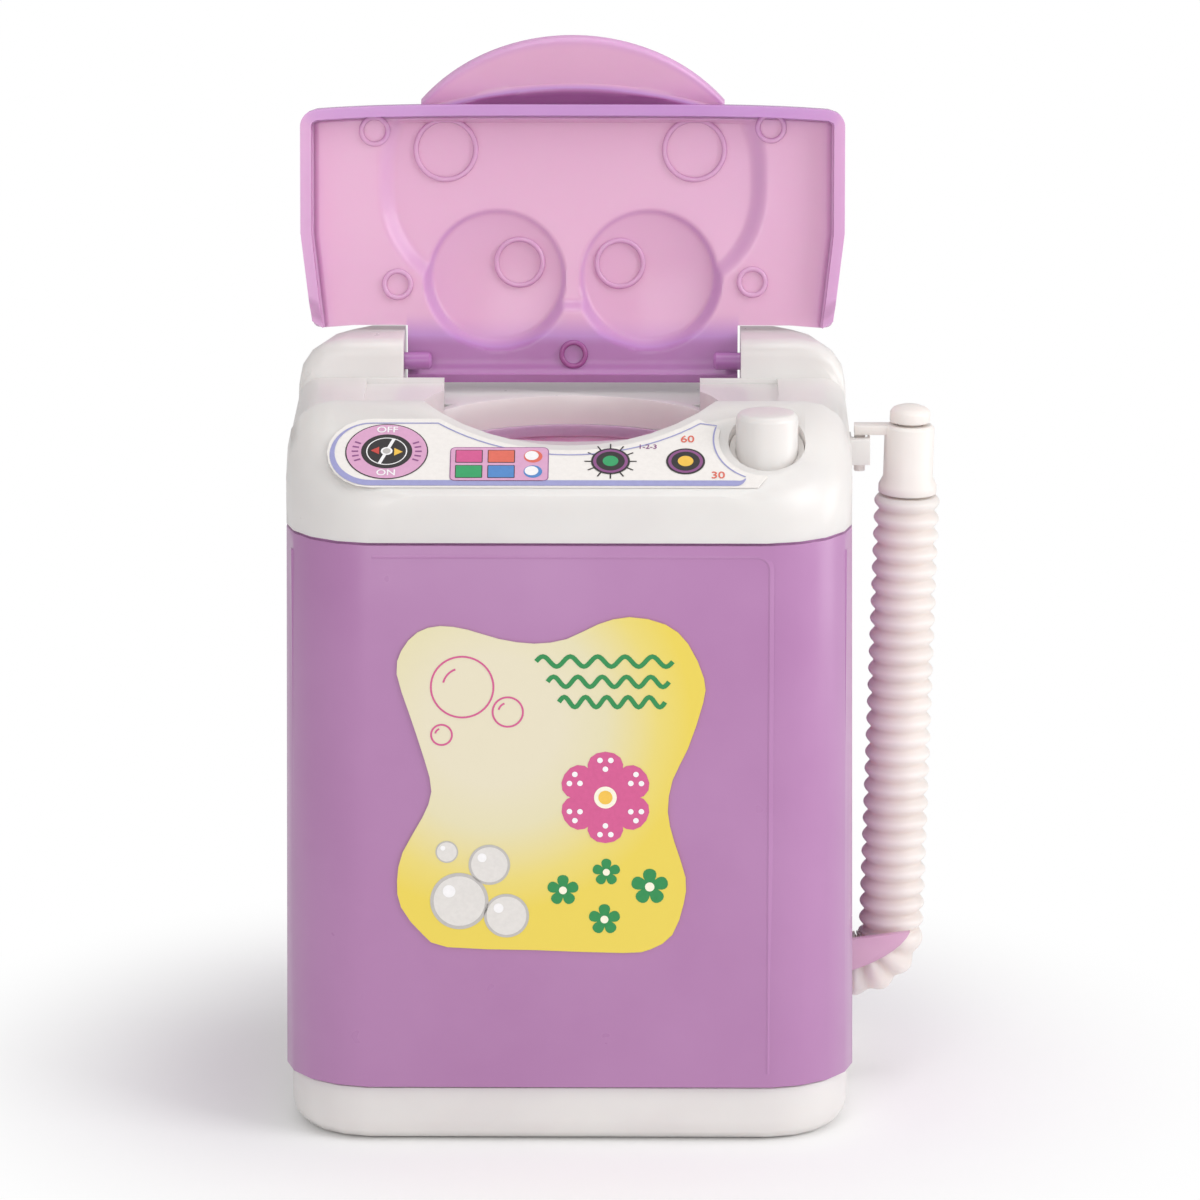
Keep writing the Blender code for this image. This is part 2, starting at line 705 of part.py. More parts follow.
def cover_outer():
    """The cover's outside form: panel, crest, ledge and humps, as a loft from front to rear."""
    bottom = HOUSING_TOP + GAP
    sections = []
    for depth in corner_depths(0.0):
        y = -depth
        sections.append(cover_section(y, panel_height(y), COVER_FILLET, cover_half_width(y), bottom))
    sections.append(cover_section(CREST_Y, CREST_TOP, COVER_FILLET, HALF_WIDTH, bottom))
    sections.append(cover_section(CREST_Y + GAP, LEDGE_TOP, LEDGE_FILLET, HALF_WIDTH, bottom))
    sections.append(cover_section(HUMP_FRONT - GAP, LEDGE_TOP, LEDGE_FILLET, HALF_WIDTH, bottom))
    front_arc = arc((0.0, 0.0), HUMP_FRONT_RADIUS, math.pi, math.pi / 2, FILLET_STEPS)
    depths = [HUMP_FRONT + HUMP_FRONT_RADIUS + a for a, _ in front_arc]
    rear_arc = arc((0.0, 0.0), HUMP_REAR_RADIUS, math.pi / 2, 0.0, FILLET_STEPS)
    depths += [HALF_DEPTH - HUMP_REAR_RADIUS + a for a, _ in rear_arc]
    depths += corner_depths(0.0)
    for y in sorted(set(round(depth, DEPTH_DIGITS) for depth in depths)):
        sections.append(cover_section(y, hump_height(y), COVER_FILLET, cover_half_width(y), bottom))
    return loft("top_cover", sections, "white")


def cover_cavity():
    """The space inside the cover, one wall smaller all round."""
    bottom = HOUSING_TOP - WALL
    slope_wall = WALL / math.cos(PANEL_SLOPE)
    ceiling = LEDGE_TOP - RECESS_DEPTH - WALL
    fillet = COVER_FILLET - WALL
    ledge_fillet = LEDGE_FILLET
    sections = []
    for depth in corner_depths(WALL):
        y = -depth
        top = min(panel_height(y) - slope_wall, ceiling)
        sections.append(cover_section(y, top, fillet, cover_half_width(y, WALL), bottom))
    y = (ceiling + slope_wall - FASCIA_TOP) / math.tan(PANEL_SLOPE) - HALF_DEPTH
    if y > sections[-1][0][1] + GAP:
        sections.append(cover_section(y, ceiling, ledge_fillet, HALF_WIDTH - WALL, bottom))
    sections.append(cover_section(HUMP_FRONT, ceiling, ledge_fillet, HALF_WIDTH - WALL, bottom))
    start = HUMP_FRONT + WALL
    depths = [start, start + HUMP_FRONT_RADIUS / 2, start + HUMP_FRONT_RADIUS]
    depths += corner_depths(WALL)
    for y in sorted(set(round(depth, DEPTH_DIGITS) for depth in depths)):
        if y < start:
            continue
        top = hump_height(y, WALL)
        sections.append(cover_section(y, top, fillet, cover_half_width(y, WALL), bottom))
    cavity = loft("cover_cavity", sections, "white")
    between = block(
        "between_humps",
        (-HUMP_INNER - WALL, HUMP_FRONT - WALL, DECK_TOP - WALL),
        (HUMP_INNER + WALL, HALF_DEPTH, HUMP_TOP),
        "white",
    )
    return cut(cavity, between)


def make_top_cover():
    """White cover with its panel, mouth, hinge humps, button well and hose ear."""
    cover = cut(cover_outer(), cover_cavity())
    collar_radius = MOUTH_RADIUS + COLLAR_WALL
    collar_top = LEDGE_TOP - RECESS_DEPTH - WALL / 2
    join(
        cover,
        rod(
            "collar", collar_radius, COLLAR_BOTTOM, collar_top, (0.0, TUB_Y), "white", sides=MOUTH_SIDES
        )
    )

    well = rod(
        "well", WELL_RADIUS + WELL_WALL, WELL_BOTTOM, CREST_TOP, (BUTTON_X, BUTTON_Y), "white",
        sides=ROUND_SIDES
    )
    join(cover, combine(well, cover_outer(), "INTERSECT"))

    recess = arc((0.0, TUB_Y + RECESS_OFFSET), RECESS_RADIUS, math.pi, 2 * math.pi, RECESS_STEPS)
    recess += [(RECESS_RADIUS, HUMP_FRONT - 2 * GAP), (-RECESS_RADIUS, HUMP_FRONT - 2 * GAP)]
    cut(cover, extrude_outline("recess", recess, RECESS_TOP, HUMP_TOP, "white"))
    deck = block(
        "deck", (-HUMP_INNER, HUMP_FRONT - GAP, DECK_TOP), (HUMP_INNER, BODY_DEPTH, HUMP_TOP + WALL),
        "white"
    )
    cut(cover, deck)
    notch = block(
        "notch", (-NOTCH_HALF_WIDTH, TUB_Y, DECK_TOP), (NOTCH_HALF_WIDTH, HUMP_FRONT, HUMP_TOP), "white"
    )
    cut(cover, notch)
    mouth = rod("mouth", MOUTH_RADIUS, HOUSING_TOP, HUMP_TOP, (0.0, TUB_Y), "white", sides=MOUTH_SIDES)
    cut(cover, mouth)
    bore = rod(
        "bore", WELL_RADIUS, HOUSING_TOP, HUMP_TOP, (BUTTON_X, BUTTON_Y), "white", sides=ROUND_SIDES
    )
    cut(cover, bore)
    hinge_hole = PIN_RADIUS + GAP
    reach = PIN_REACH + GAP
    cut(
        cover,
        rod(
            "hinge_hole", hinge_hole, -reach, reach, (HINGE_Y, HINGE_Z), "white", axis="X",
            sides=HOLE_SIDES
        )
    )

    ear_low = (HALF_WIDTH - WALL / 2, TUB_Y - EAR_WIDTH / 2, EAR_TOP - EAR_HEIGHT)
    ear_high = (HALF_WIDTH + EAR_REACH, TUB_Y + EAR_WIDTH / 2, EAR_TOP)
    join(cover, block("ear", ear_low, ear_high, "white"))
    slot_half = HOOK_PIN_RADIUS + GAP
    slot = arc((HOOK_PIN_X, TUB_Y), slot_half, math.pi, 2 * math.pi, SLOT_STEPS)
    slot += [(HOOK_PIN_X + slot_half, TUB_Y + EAR_WIDTH), (HOOK_PIN_X - slot_half, TUB_Y + EAR_WIDTH)]
    cut(cover, extrude_outline("slot", slot, EAR_TOP - 2 * EAR_HEIGHT, EAR_TOP + WALL, "white"))
    return cover


def make_housing():
    """Purple shell with screw posts, ribs under the tub deck, hose hole and guard fin."""
    low = BASE_HEIGHT + GAP
    outer = [shell_ring(z, 0.0) for z in (low, HOUSING_TOP)]
    inner = [shell_ring(z, WALL) for z in (HOUSING_TOP, low)]
    housing = loft("housing", outer + inner + [outer[0]], "purple", closed_ends=False)
    wall_x = HALF_WIDTH - WALL / 2
    for side in (-1, 1):
        centre = (side * POST_X, -POST_Y)
        join(housing, rod("post", POST_RADIUS, low + GAP, POST_TOP, centre, "purple", sides=HOLE_SIDES))
        ends = sorted((side * POST_X, side * wall_x))
        web_low = (ends[0], -POST_Y - RIB_WALL / 2, low + GAP)
        join(housing, block("web", web_low, (ends[1], -POST_Y + RIB_WALL / 2, POST_TOP), "purple"))
        for depth in (-1, 1):
            bottom = POST_TOP - WALL if depth < 0 else REAR_RIB_BOTTOM
            ends = sorted((side * (wall_x - RIB_REACH), side * wall_x))
            rib_low = (ends[0], depth * POST_Y - RIB_WALL / 2, bottom)
            rib_high = (ends[1], depth * POST_Y + RIB_WALL / 2, RIB_TOP)
            join(housing, block("rib", rib_low, rib_high, "purple"))
    for side in (-1, 1):
        pilot = rod(
            "pilot", SCREW_RADIUS + GAP, low, low + 2 * BASE_HEIGHT, (side * POST_X, -POST_Y), "purple",
            sides=HOLE_SIDES
        )
        cut(housing, pilot)
    hole = rod(
        "hose_hole", HOSE_RADIUS + GAP, HALF_WIDTH - 2 * WALL, HALF_WIDTH + 2 * WALL, (TUB_Y, HOSE_Z),
        "purple",
        axis="X", sides=ROUND_SIDES,
    )
    cut(housing, hole)

    root = HALF_WIDTH - WALL / 2
    fin_bottom = HOSE_Z + HOSE_RADIUS + 3 * GAP
    sweep = arc((root, fin_bottom + FIN_HEIGHT), FIN_HEIGHT, -math.pi / 2, -FIN_TIP_ANGLE, FIN_STEPS)
    fin = [(root + (x - root) * (FIN_REACH + WALL) / FIN_HEIGHT, z) for x, z in sweep]
    fin += [(root, fin_bottom + FIN_HEIGHT)]
    fin_rear = TUB_Y - HOSE_RADIUS - GAP
    join(housing, extrude_outline("fin", fin, fin_rear - FIN_WALL, fin_rear, "purple", axis="Y"))
    return housing


def make_inner_tub():
    """Purple bowl hung from a deck plate that rests on the housing's posts."""
    deck_inset = WALL + GAP
    low = shell_ring(DECK_UNDER, deck_inset)
    high = shell_ring(DECK_UNDER + TUB_DECK, deck_inset)
    tub = loft("inner_tub", [low, high], "purple")
    outer = MOUTH_RADIUS + TUB_WALL
    cut(
        tub,
        rod(
            "clear", outer - TUB_WALL / 2, 0.0, BODY_WIDTH * 2, (0.0, TUB_Y), "purple",
            sides=MOUTH_SIDES
        )
    )

    floor_under = TUB_FLOOR_TOP - TUB_FLOOR
    base = MOUTH_RADIUS - TUB_TAPER
    corner_steps = 3
    profile = [(0.0, floor_under)]
    centre = (base + TUB_WALL - TUB_CORNER, floor_under + TUB_CORNER)
    profile += arc(centre, TUB_CORNER, -math.pi / 2, 0.0, corner_steps)
    profile += [(outer, DECK_UNDER), (outer, MOUTH_RIM), (MOUTH_RADIUS, MOUTH_RIM)]
    inner_corner = TUB_CORNER - TUB_WALL
    centre = (base - inner_corner, TUB_FLOOR_TOP + inner_corner)
    profile += reversed(arc(centre, inner_corner, -math.pi / 2, 0.0, corner_steps))
    profile += [(0.0, TUB_FLOOR_TOP)]
    join(tub, turned("bowl", profile, (0.0, TUB_Y), "purple", sides=MOUTH_SIDES))

    for side in (-1, 1):
        boss = rod(
            "boss", BOSS_RADIUS, floor_under - BOSS_DROP, TUB_FLOOR_TOP - GAP, (side * BOSS_X, TUB_Y),
            "purple",
            sides=HOLE_SIDES,
        )
        join(tub, boss)
        pilot_top = floor_under - BOSS_DROP + BRACKET_SCREW_BITE + GAP
        pilot = rod(
            "pilot", SCREW_RADIUS + GAP, 0.0, pilot_top, (side * BOSS_X, TUB_Y), "purple",
            sides=HOLE_SIDES
        )
        cut(tub, pilot)
    outlet_z = TUB_FLOOR_TOP + OUTLET_RISE
    stub = rod(
        "stub", OUTLET_RADIUS, base, OUTLET_END, (TUB_Y, outlet_z), "purple", axis="X", sides=ROD_SIDES
    )
    join(tub, stub)
    drain = rod(
        "drain", OUTLET_BORE, MOUTH_RADIUS / 2, BODY_WIDTH, (TUB_Y, outlet_z), "purple", axis="X",
        sides=ROD_SIDES
    )
    cut(tub, drain)
    seat = rod("seat", SEAL_RADIUS + GAP, 0.0, TUB_FLOOR_TOP + WALL, (0.0, TUB_Y), "purple")
    cut(tub, seat)

    stem_hole = rod(
        "stem_hole", STEM_RADIUS + GAP, 0.0, BODY_WIDTH * 2, (BUTTON_X, BUTTON_Y), "purple",
        sides=HOLE_SIDES
    )
    cut(tub, stem_hole)
    post_low = (LEAF_ROOT - SWITCH_POST, BUTTON_Y - SWITCH_POST, LEAF_LOW - 2 * LEAF_GAP)
    post_high = (LEAF_ROOT + SWITCH_POST / 2, BUTTON_Y + SWITCH_POST, DECK_UNDER + TUB_DECK / 2)
    join(tub, block("switch_post", post_low, post_high, "purple"))
    for low_z in (LEAF_LOW, LEAF_HIGH):
        slot_low = (LEAF_ROOT - GAP, BUTTON_Y - LEAF_WIDTH / 2 - GAP, low_z - GAP)
        slot_high = (BUTTON_X, BUTTON_Y + LEAF_WIDTH / 2 + GAP, low_z + LEAF + GAP)
        cut(tub, block("leaf_slot", slot_low, slot_high, "purple"))
    return tub


def tray_ring(height, inset):
    """One level outline of the base tray, just inside the housing's lowest edge."""
    flare = HOUSING_FLARE
    outline = plan_outline(
        HALF_WIDTH + flare - inset, HALF_DEPTH + flare - inset, CORNER_RADIUS - inset, CORNER_CREASE
    )
    return [(x, y, height) for x, y in outline]


def door_outline(inset):
    """Outline of the battery door's opening."""
    half_x = CELL_LENGTH / 2 + CELL_NIPPLE
    half_y = CELL_RADIUS + GAP
    outline = plan_outline(half_x - inset, half_y - inset, DOOR_CORNER - inset, steps=3)
    return [(x, y + CELL_Y) for x, y in outline]


def make_base_tray():
    """White bottom cover with screw bosses, cell cradle and the battery opening."""
    rings = []
    for i in range(BASE_EDGE_STEPS + 1):
        angle = math.pi / 2 * i / BASE_EDGE_STEPS
        height = BASE_EDGE_RADIUS * (1 - math.cos(angle))
        inset = BASE_INSET + BASE_EDGE_RADIUS * (1 - math.sin(angle))
        rings.append(tray_ring(height, inset))
    rings.append(tray_ring(BASE_HEIGHT, BASE_INSET))
    rings.append(tray_ring(BASE_HEIGHT, BASE_INSET + WALL))
    rings.append(tray_ring(BASE_EDGE_RADIUS, BASE_INSET + WALL))
    rings.append(tray_ring(FLOOR, BASE_INSET + BASE_EDGE_RADIUS))
    tray = loft("base_tray", rings, "white")

    seat = FLOOR / 2
    wall_y = CELL_Y - CELL_RADIUS - GAP
    cradle_top = FLOOR + CRADLE_HEIGHT
    half_x = CELL_LENGTH / 2 + CELL_NIPPLE
    front_low = (-half_x, wall_y - CRADLE_WALL, seat)
    join(tray, block("cradle_front", front_low, (half_x, wall_y, cradle_top), "white"))
    for side in (-1, 1):
        inner = half_x + 2 * GAP + CONTACT
        ends = sorted((side * inner, side * (inner + CRADLE_WALL)))
        low = (ends[0], CELL_Y - CONTACT_WIDTH / 2, seat)
        high = (ends[1], CELL_Y + CONTACT_WIDTH / 2, CELL_Z + CELL_RADIUS / 2)
        join(tray, block("cradle_end", low, high, "white"))

    lug_back = wall_y - DOOR_LUG_LENGTH
    boss_low = (DOOR_LUG_X - DOOR_LUG_HALF - WALL, lug_back - WALL, seat)
    boss_high = (DOOR_LUG_X + DOOR_LUG_HALF + WALL, wall_y - CRADLE_WALL / 2, BASE_HEIGHT)
    join(tray, block("door_boss", boss_low, boss_high, "white"))
    cut(tray, extrude_outline("opening", door_outline(0.0), -FLOOR, FLOOR + GAP, "white"))
    notch_low = (DOOR_LUG_X - DOOR_LUG_HALF - GAP, lug_back - GAP, -FLOOR)
    notch_high = (DOOR_LUG_X + DOOR_LUG_HALF + GAP, CELL_Y, DOOR_LUG_HEIGHT + GAP)
    cut(tray, block("lug_notch", notch_low, notch_high, "white"))
    pilot = rod(
        "pilot", SCREW_RADIUS + GAP, 0.0, BASE_HEIGHT - FLOOR / 2, (DOOR_LUG_X, DOOR_SCREW_Y), "white",
        sides=HOLE_SIDES
    )
    cut(tray, pilot)

    for side in (-1, 1):
        centre = (side * POST_X, -POST_Y)
        boss_top = BASE_HEIGHT
        join(
            tray,
            rod(
                "screw_boss", SCREW_HEAD_RADIUS + WALL, seat, boss_top, centre, "white", sides=ROD_SIDES
            )
        )
        cut(
            tray,
            rod(
                "clear", SCREW_RADIUS + GAP, -FLOOR, BASE_HEIGHT + GAP, centre, "white",
                sides=HOLE_SIDES
            )
        )
        cut(
            tray,
            rod(
                "sink", SCREW_HEAD_RADIUS + GAP, -FLOOR, BASE_SCREW_SEAT - GAP, centre, "white",
                sides=ROD_SIDES
            )
        )

    hook_y = HALF_DEPTH + HOUSING_FLARE - WALL - GAP
    for side in (-1, 1):
        near = sorted((side * HOOK_NEAR, side * (HOOK_NEAR + HOOK_WIDTH)))
        low = (near[0], hook_y - HOOK_WALL, BASE_EDGE_RADIUS)
        high = (near[1], hook_y, BASE_HEIGHT + HOOK_RISE)
        join(tray, block("rear_hook", low, high, "white"))
    return tray


def make_battery_door():
    """Flat door under the cell, with a screw lug."""
    door = extrude_outline("battery_door", door_outline(GAP), 0.0, FLOOR, "white")
    wall_y = CELL_Y - CELL_RADIUS - GAP
    low = (DOOR_LUG_X - DOOR_LUG_HALF, wall_y - DOOR_LUG_LENGTH, 0.0)
    high = (DOOR_LUG_X + DOOR_LUG_HALF, wall_y - 2 * GAP, DOOR_LUG_HEIGHT)
    join(door, block("lug", low, high, "white"))
    low = (DOOR_LUG_X - DOOR_LUG_HALF, wall_y - WALL, 0.0)
    high = (DOOR_LUG_X + DOOR_LUG_HALF, CELL_Y - CELL_RADIUS / 2, FLOOR)
    join(door, block("lug_root", low, high, "white"))
    for x in (-CELL_LENGTH / 4, -CELL_LENGTH / 4 - DOOR_RIB_PITCH, -CELL_LENGTH / 4 + DOOR_RIB_PITCH):
        groove_low = (x - GAP, CELL_Y - DOOR_RIB_PITCH, -FLOOR)
        groove_high = (x + GAP, CELL_Y + DOOR_RIB_PITCH, DOOR_GROOVE)
        cut(door, block("groove", groove_low, groove_high, "white"))
    centre = (DOOR_LUG_X, DOOR_SCREW_Y)
    cut(
        door,
        rod("clear", SCREW_RADIUS + GAP, -FLOOR, 2 * DOOR_LUG_HEIGHT, centre, "white", sides=HOLE_SIDES)
    )
    sink_top = DOOR_SCREW_SINK + SCREW_HEAD + GAP
    cut(door, rod("sink", SCREW_HEAD_RADIUS + GAP, -FLOOR, sink_top, centre, "white", sides=ROD_SIDES))
    return door


def make_screw(name, centre, head_low, length):
    """Round headed screw pointing up, with a cross recess under its head."""
    head_top = head_low + SCREW_HEAD
    profile = [
        (0.0, head_low),
        (SCREW_HEAD_RADIUS - SCREW_HEAD / 2, head_low),
        (SCREW_HEAD_RADIUS, head_low + SCREW_HEAD / 2),
        (SCREW_HEAD_RADIUS, head_top),
        (SCREW_RADIUS, head_top),
        (SCREW_RADIUS, head_top + length - SCREW_RADIUS),
        (0.0, head_top + length),
    ]
    screw = turned(name, profile, centre, "steel", sides=HOLE_SIDES)
    for turn in (0, 1):
        long_half = SCREW_RADIUS
        short_half = SCREW_RADIUS / 4
        half = (long_half, short_half) if turn else (short_half, long_half)
        low = (centre[0] - half[0], centre[1] - half[1], head_low - SCREW_HEAD)
        high = (centre[0] + half[0], centre[1] + half[1], head_low + SCREW_HEAD / 2)
        cut(screw, block("cross", low, high, "steel"))
    return screw


def motor_outline(half_width, half_thickness):
    """Round can with two flats: the sides are arcs about the shaft."""
    angle = math.asin(half_thickness / half_width)
    right = arc((0.0, TUB_Y), half_width, -angle, angle, CAN_STEPS)
    left = arc((0.0, TUB_Y), half_width, math.pi - angle, math.pi + angle, CAN_STEPS)
    return right + left


def make_motor():
    """Motor can with its bearing nose, and the plastic cap that closes it below."""
    outline = motor_outline(MOTOR_WIDTH / 2, MOTOR_THICKNESS / 2)
    can_low = MOTOR_BOTTOM + MOTOR_CAP
    can = extrude_outline("motor_can", outline, can_low, MOTOR_TOP, "steel")
    nose = rod(
        "nose", NOSE_RADIUS, MOTOR_TOP - GAP, MOTOR_TOP + NOSE_HEIGHT, (0.0, TUB_Y), "steel",
        sides=ROD_SIDES
    )
    join(can, nose)
    cut(
        can,
        rod(
            "bore", SHAFT_RADIUS + GAP, SHAFT_BOTTOM - GAP, SHAFT_TOP, (0.0, TUB_Y), "steel",
            sides=HOLE_SIDES
        )
    )
    inset = GAP
    cap_outline = motor_outline(MOTOR_WIDTH / 2 - inset, MOTOR_THICKNESS / 2 - inset)
    cap = extrude_outline("motor_end_cap", cap_outline, MOTOR_BOTTOM, can_low - GAP, "black")
    for side in (-1, 1):
        ends = sorted((side * TERMINAL_X, side * (TERMINAL_X + TERMINAL_WIDTH)))
        low = (ends[0], TUB_Y + MOTOR_THICKNESS / 2 - 2 * GAP, MOTOR_BOTTOM + GAP)
        high = (ends[1], TUB_Y + MOTOR_THICKNESS / 2 + TERMINAL_REACH, MOTOR_BOTTOM + GAP + CONTACT)
        join(cap, block("terminal", low, high, "black"))
    return can, cap


def make_motor_bracket():
    """Strap under the motor whose two feet are screwed to the tub's bosses."""
    inner = MOTOR_WIDTH / 2 + GAP
    outer = inner + BRACKET
    low = MOTOR_BOTTOM - GAP - BRACKET
    foot = TUB_FLOOR_TOP - TUB_FLOOR - BOSS_DROP - GAP
    end = BOSS_X + BOSS_RADIUS
    outline = [
        (-outer, low), (outer, low), (outer, foot - BRACKET), (end, foot - BRACKET), (end, foot),
        (inner, foot),
        (inner, low + BRACKET), (-inner, low + BRACKET), (-inner, foot), (-end, foot),
        (-end, foot - BRACKET),
        (-outer, foot - BRACKET),
    ]
    half = BOSS_RADIUS
    bracket = extrude_outline("motor_bracket", outline, TUB_Y - half, TUB_Y + half, "white", axis="Y")
    for side in (-1, 1):
        hole = rod(
            "hole", SCREW_RADIUS + GAP, low, TUB_FLOOR_TOP, (side * BOSS_X, TUB_Y), "white",
            sides=HOLE_SIDES
        )
        cut(bracket, hole)
    return bracket


def make_shaft_seal():
    """Rubber lip ring in the tub floor, round the motor shaft."""
    low = TUB_FLOOR_TOP - TUB_FLOOR
    lip = SHAFT_RADIUS + GAP
    profile = [
        (SEAL_RADIUS, low), (SEAL_RADIUS, TUB_FLOOR_TOP), (lip + GAP, TUB_FLOOR_TOP + GAP),
        (lip, TUB_FLOOR_TOP),
        (lip, low),
    ]
    return turned_ring("shaft_seal", profile, (0.0, TUB_Y), "rubber", sides=ROD_SIDES)


def make_drive():
    """Motor shaft and the vaned pulsator pressed on its top."""
    shaft = rod(
        "motor_shaft", SHAFT_RADIUS, SHAFT_BOTTOM, SHAFT_TOP, (0.0, TUB_Y), "steel", sides=HOLE_SIDES
    )
    low = TUB_FLOOR_TOP + 4 * GAP
    high = low + PULSATOR_THICKNESS
    hub_top = SHAFT_TOP + PULSATOR_THICKNESS
    rim = PULSATOR_RADIUS - PULSATOR_THICKNESS
    crown = HUB_RADIUS - PULSATOR_THICKNESS
    profile = [
        (0.0, low), (PULSATOR_RADIUS, low), (PULSATOR_RADIUS, low + PULSATOR_THICKNESS / 2),
        (rim, high),
        (HUB_RADIUS + PULSATOR_THICKNESS, high + GAP), (HUB_RADIUS, hub_top - 3 * GAP),
        (crown, hub_top),
        (0.0, hub_top),
    ]
    pulsator = turned("pulsator", profile, (0.0, TUB_Y), "white", sides=ROUND_SIDES)
    for i in range(VANES):
        turn = 2 * math.pi * i / VANES + math.pi / VANES
        outline = [
            (crown, high - GAP), (rim, high - GAP), (rim, high + GAP),
            (rim - VANE_HEIGHT, high + VANE_HEIGHT / 2), (HUB_RADIUS + VANE_WIDTH, high + VANE_HEIGHT),
            (crown, high + VANE_HEIGHT),
        ]
        vane = extrude_outline("vane", outline, -VANE_WIDTH / 2, VANE_WIDTH / 2, "white", axis="Y")
        vane.data.transform(Matrix.Translation((0.0, TUB_Y, 0.0)) @ Matrix.Rotation(turn, 4, "Z"))
        join(pulsator, vane)
    bore = rod(
        "bore", SHAFT_RADIUS + PRESS_GAP, 0.0, SHAFT_TOP + GAP, (0.0, TUB_Y), "white", sides=HOLE_SIDES
    )
    cut(pulsator, bore)
    return shaft, pulsator


def make_battery():
    """One round cell with its raised positive end."""
    cell = rod(
        "battery_cell", CELL_RADIUS, -CELL_LENGTH / 2, CELL_LENGTH / 2, (CELL_Y, CELL_Z), "cell", "X",
        ROUND_SIDES
    )
    nipple = rod(
        "nipple", CELL_NIPPLE_RADIUS, CELL_LENGTH / 2 - GAP, CELL_LENGTH / 2 + CELL_NIPPLE - GAP,
        (CELL_Y, CELL_Z), "cell", "X", HOLE_SIDES,
    )
    return join(cell, nipple)


def make_contacts():
    """Flat plate at the cell's positive end and a coned spring at the other."""
    face = CELL_LENGTH / 2 + CELL_NIPPLE
    low = (face + GAP, CELL_Y - CONTACT_WIDTH / 2, CELL_Z - CONTACT_HEIGHT / 2)
    high = (face + GAP + CONTACT, CELL_Y + CONTACT_WIDTH / 2, CELL_Z + CONTACT_HEIGHT / 2)
    plate = block("contact_plate", low, high, "steel")
    start = -face - GAP
    stop = -CELL_LENGTH / 2 - GAP - SPRING_WIRE
    steps = CONTACT_TURNS * TURN_STEPS
    path = []
    for i in range(steps + 1):
        share = i / steps
        radius = CONTACT_WIDTH / 2 - SPRING_REACH * share
        angle = 2 * math.pi * CONTACT_TURNS * share
        x = start + (stop - start) * share
        path.append(Vector((x, CELL_Y + radius * math.cos(angle), CELL_Z + radius * math.sin(angle))))
    spring = swept_bar("contact_spring", path, SPRING_WIRE, "steel", sides=WIRE_SIDES)
    return plate, spring


def make_leaf(name, low_z):
    """Thin brass blade of the switch, held at one end in the switch post."""
    low = (LEAF_ROOT, BUTTON_Y - LEAF_WIDTH / 2, low_z)
    high = (BUTTON_X + LEAF_OVERHANG, BUTTON_Y + LEAF_WIDTH / 2, low_z + LEAF)
    return block(name, low, high, "brass")


def smooth_span(a, b, c, d, steps):
    """Points between b and c of a smooth curve through all four."""
    span = []
    for i in range(steps):
        t = i / steps
        bend = (2 * a - 5 * b + 4 * c - d) * t**2
        span.append((2 * b + (c - a) * t + bend + (3 * b - a - 3 * c + d) * t**3) / 2)
    return span


def smooth_route(points, steps):
    """Read points from a smooth open curve that passes through the given ones."""
    padded = [points[0] * 2 - points[1]] + points + [points[-1] * 2 - points[-2]]
    route = []
    for a, b, c, d in zip(padded, padded[1:], padded[2:], padded[3:]):
        route += smooth_span(a, b, c, d, steps)
    route.append(points[-1])
    return route


def smooth_loop(points, steps):
    """Read points from a smooth closed curve that passes through the given ones."""
    around = points[-1:] + points + points[:2]
    loop = []
    for a, b, c, d in zip(around, around[1:], around[2:], around[3:]):
        loop += smooth_span(a, b, c, d, steps)
    return loop


def make_lead(name, points, finish):
    """One insulated lead along its route inside the housing."""
    curve = bpy.data.curves.new(name, "CURVE")
    curve.dimensions = "3D"
    stops = [Vector(LEAD_PLACES[place]) + Vector(offset) for place, *offset in points]
    route = smooth_route(stops, LEAD_STEPS)
    spline = curve.splines.new("POLY")
    spline.points.add(len(route) - 1)
    for knot, place in zip(spline.points, route):
        knot.co = (*place, 1.0)
    curve.bevel_depth = LEAD_RADIUS
    curve.bevel_resolution = 0
    curve.use_fill_caps = True
    curve.materials.append(FINISH[finish])
    made = bpy.data.objects.new(name, curve)
    bpy.context.scene.collection.objects.link(made)
    return made


def make_leads():
    """The three leads: cell to motor, cell to switch, and switch to motor."""
    make_lead("lead_cell_to_motor", LEAD_CELL_TO_MOTOR, "rubber")
    make_lead("lead_cell_to_switch", LEAD_CELL_TO_SWITCH, "red")
    make_lead("lead_switch_to_motor", LEAD_SWITCH_TO_MOTOR, "red")


def make_drain_elbow():
    """Stiff pipe from the tub's outlet down to the spigot inside the hose."""
    top = TUB_FLOOR_TOP + OUTLET_RISE
    start = OUTLET_END + GAP
    bend = PIPE_X - start
    path = [Vector((start, TUB_Y, top))]
    for x, z in reversed(arc((start + GAP, top - bend + GAP), bend - GAP, 0.0, math.pi / 2, BEND_STEPS)):
        path.append(Vector((x, TUB_Y, z)))
    lower = PIPE_BEND
    for x, z in arc((PIPE_X + lower, HOSE_Z + lower), lower, math.pi, 3 * math.pi / 2, BEND_STEPS):
        path.append(Vector((x, TUB_Y, z)))
    path.append(Vector((SPIGOT_END, TUB_Y, HOSE_Z)))
    return swept_pipe(
        "drain_elbow", path, [PIPE_RADIUS] * len(path), PIPE_BORE, "white", sides=PIPE_SIDES
    )


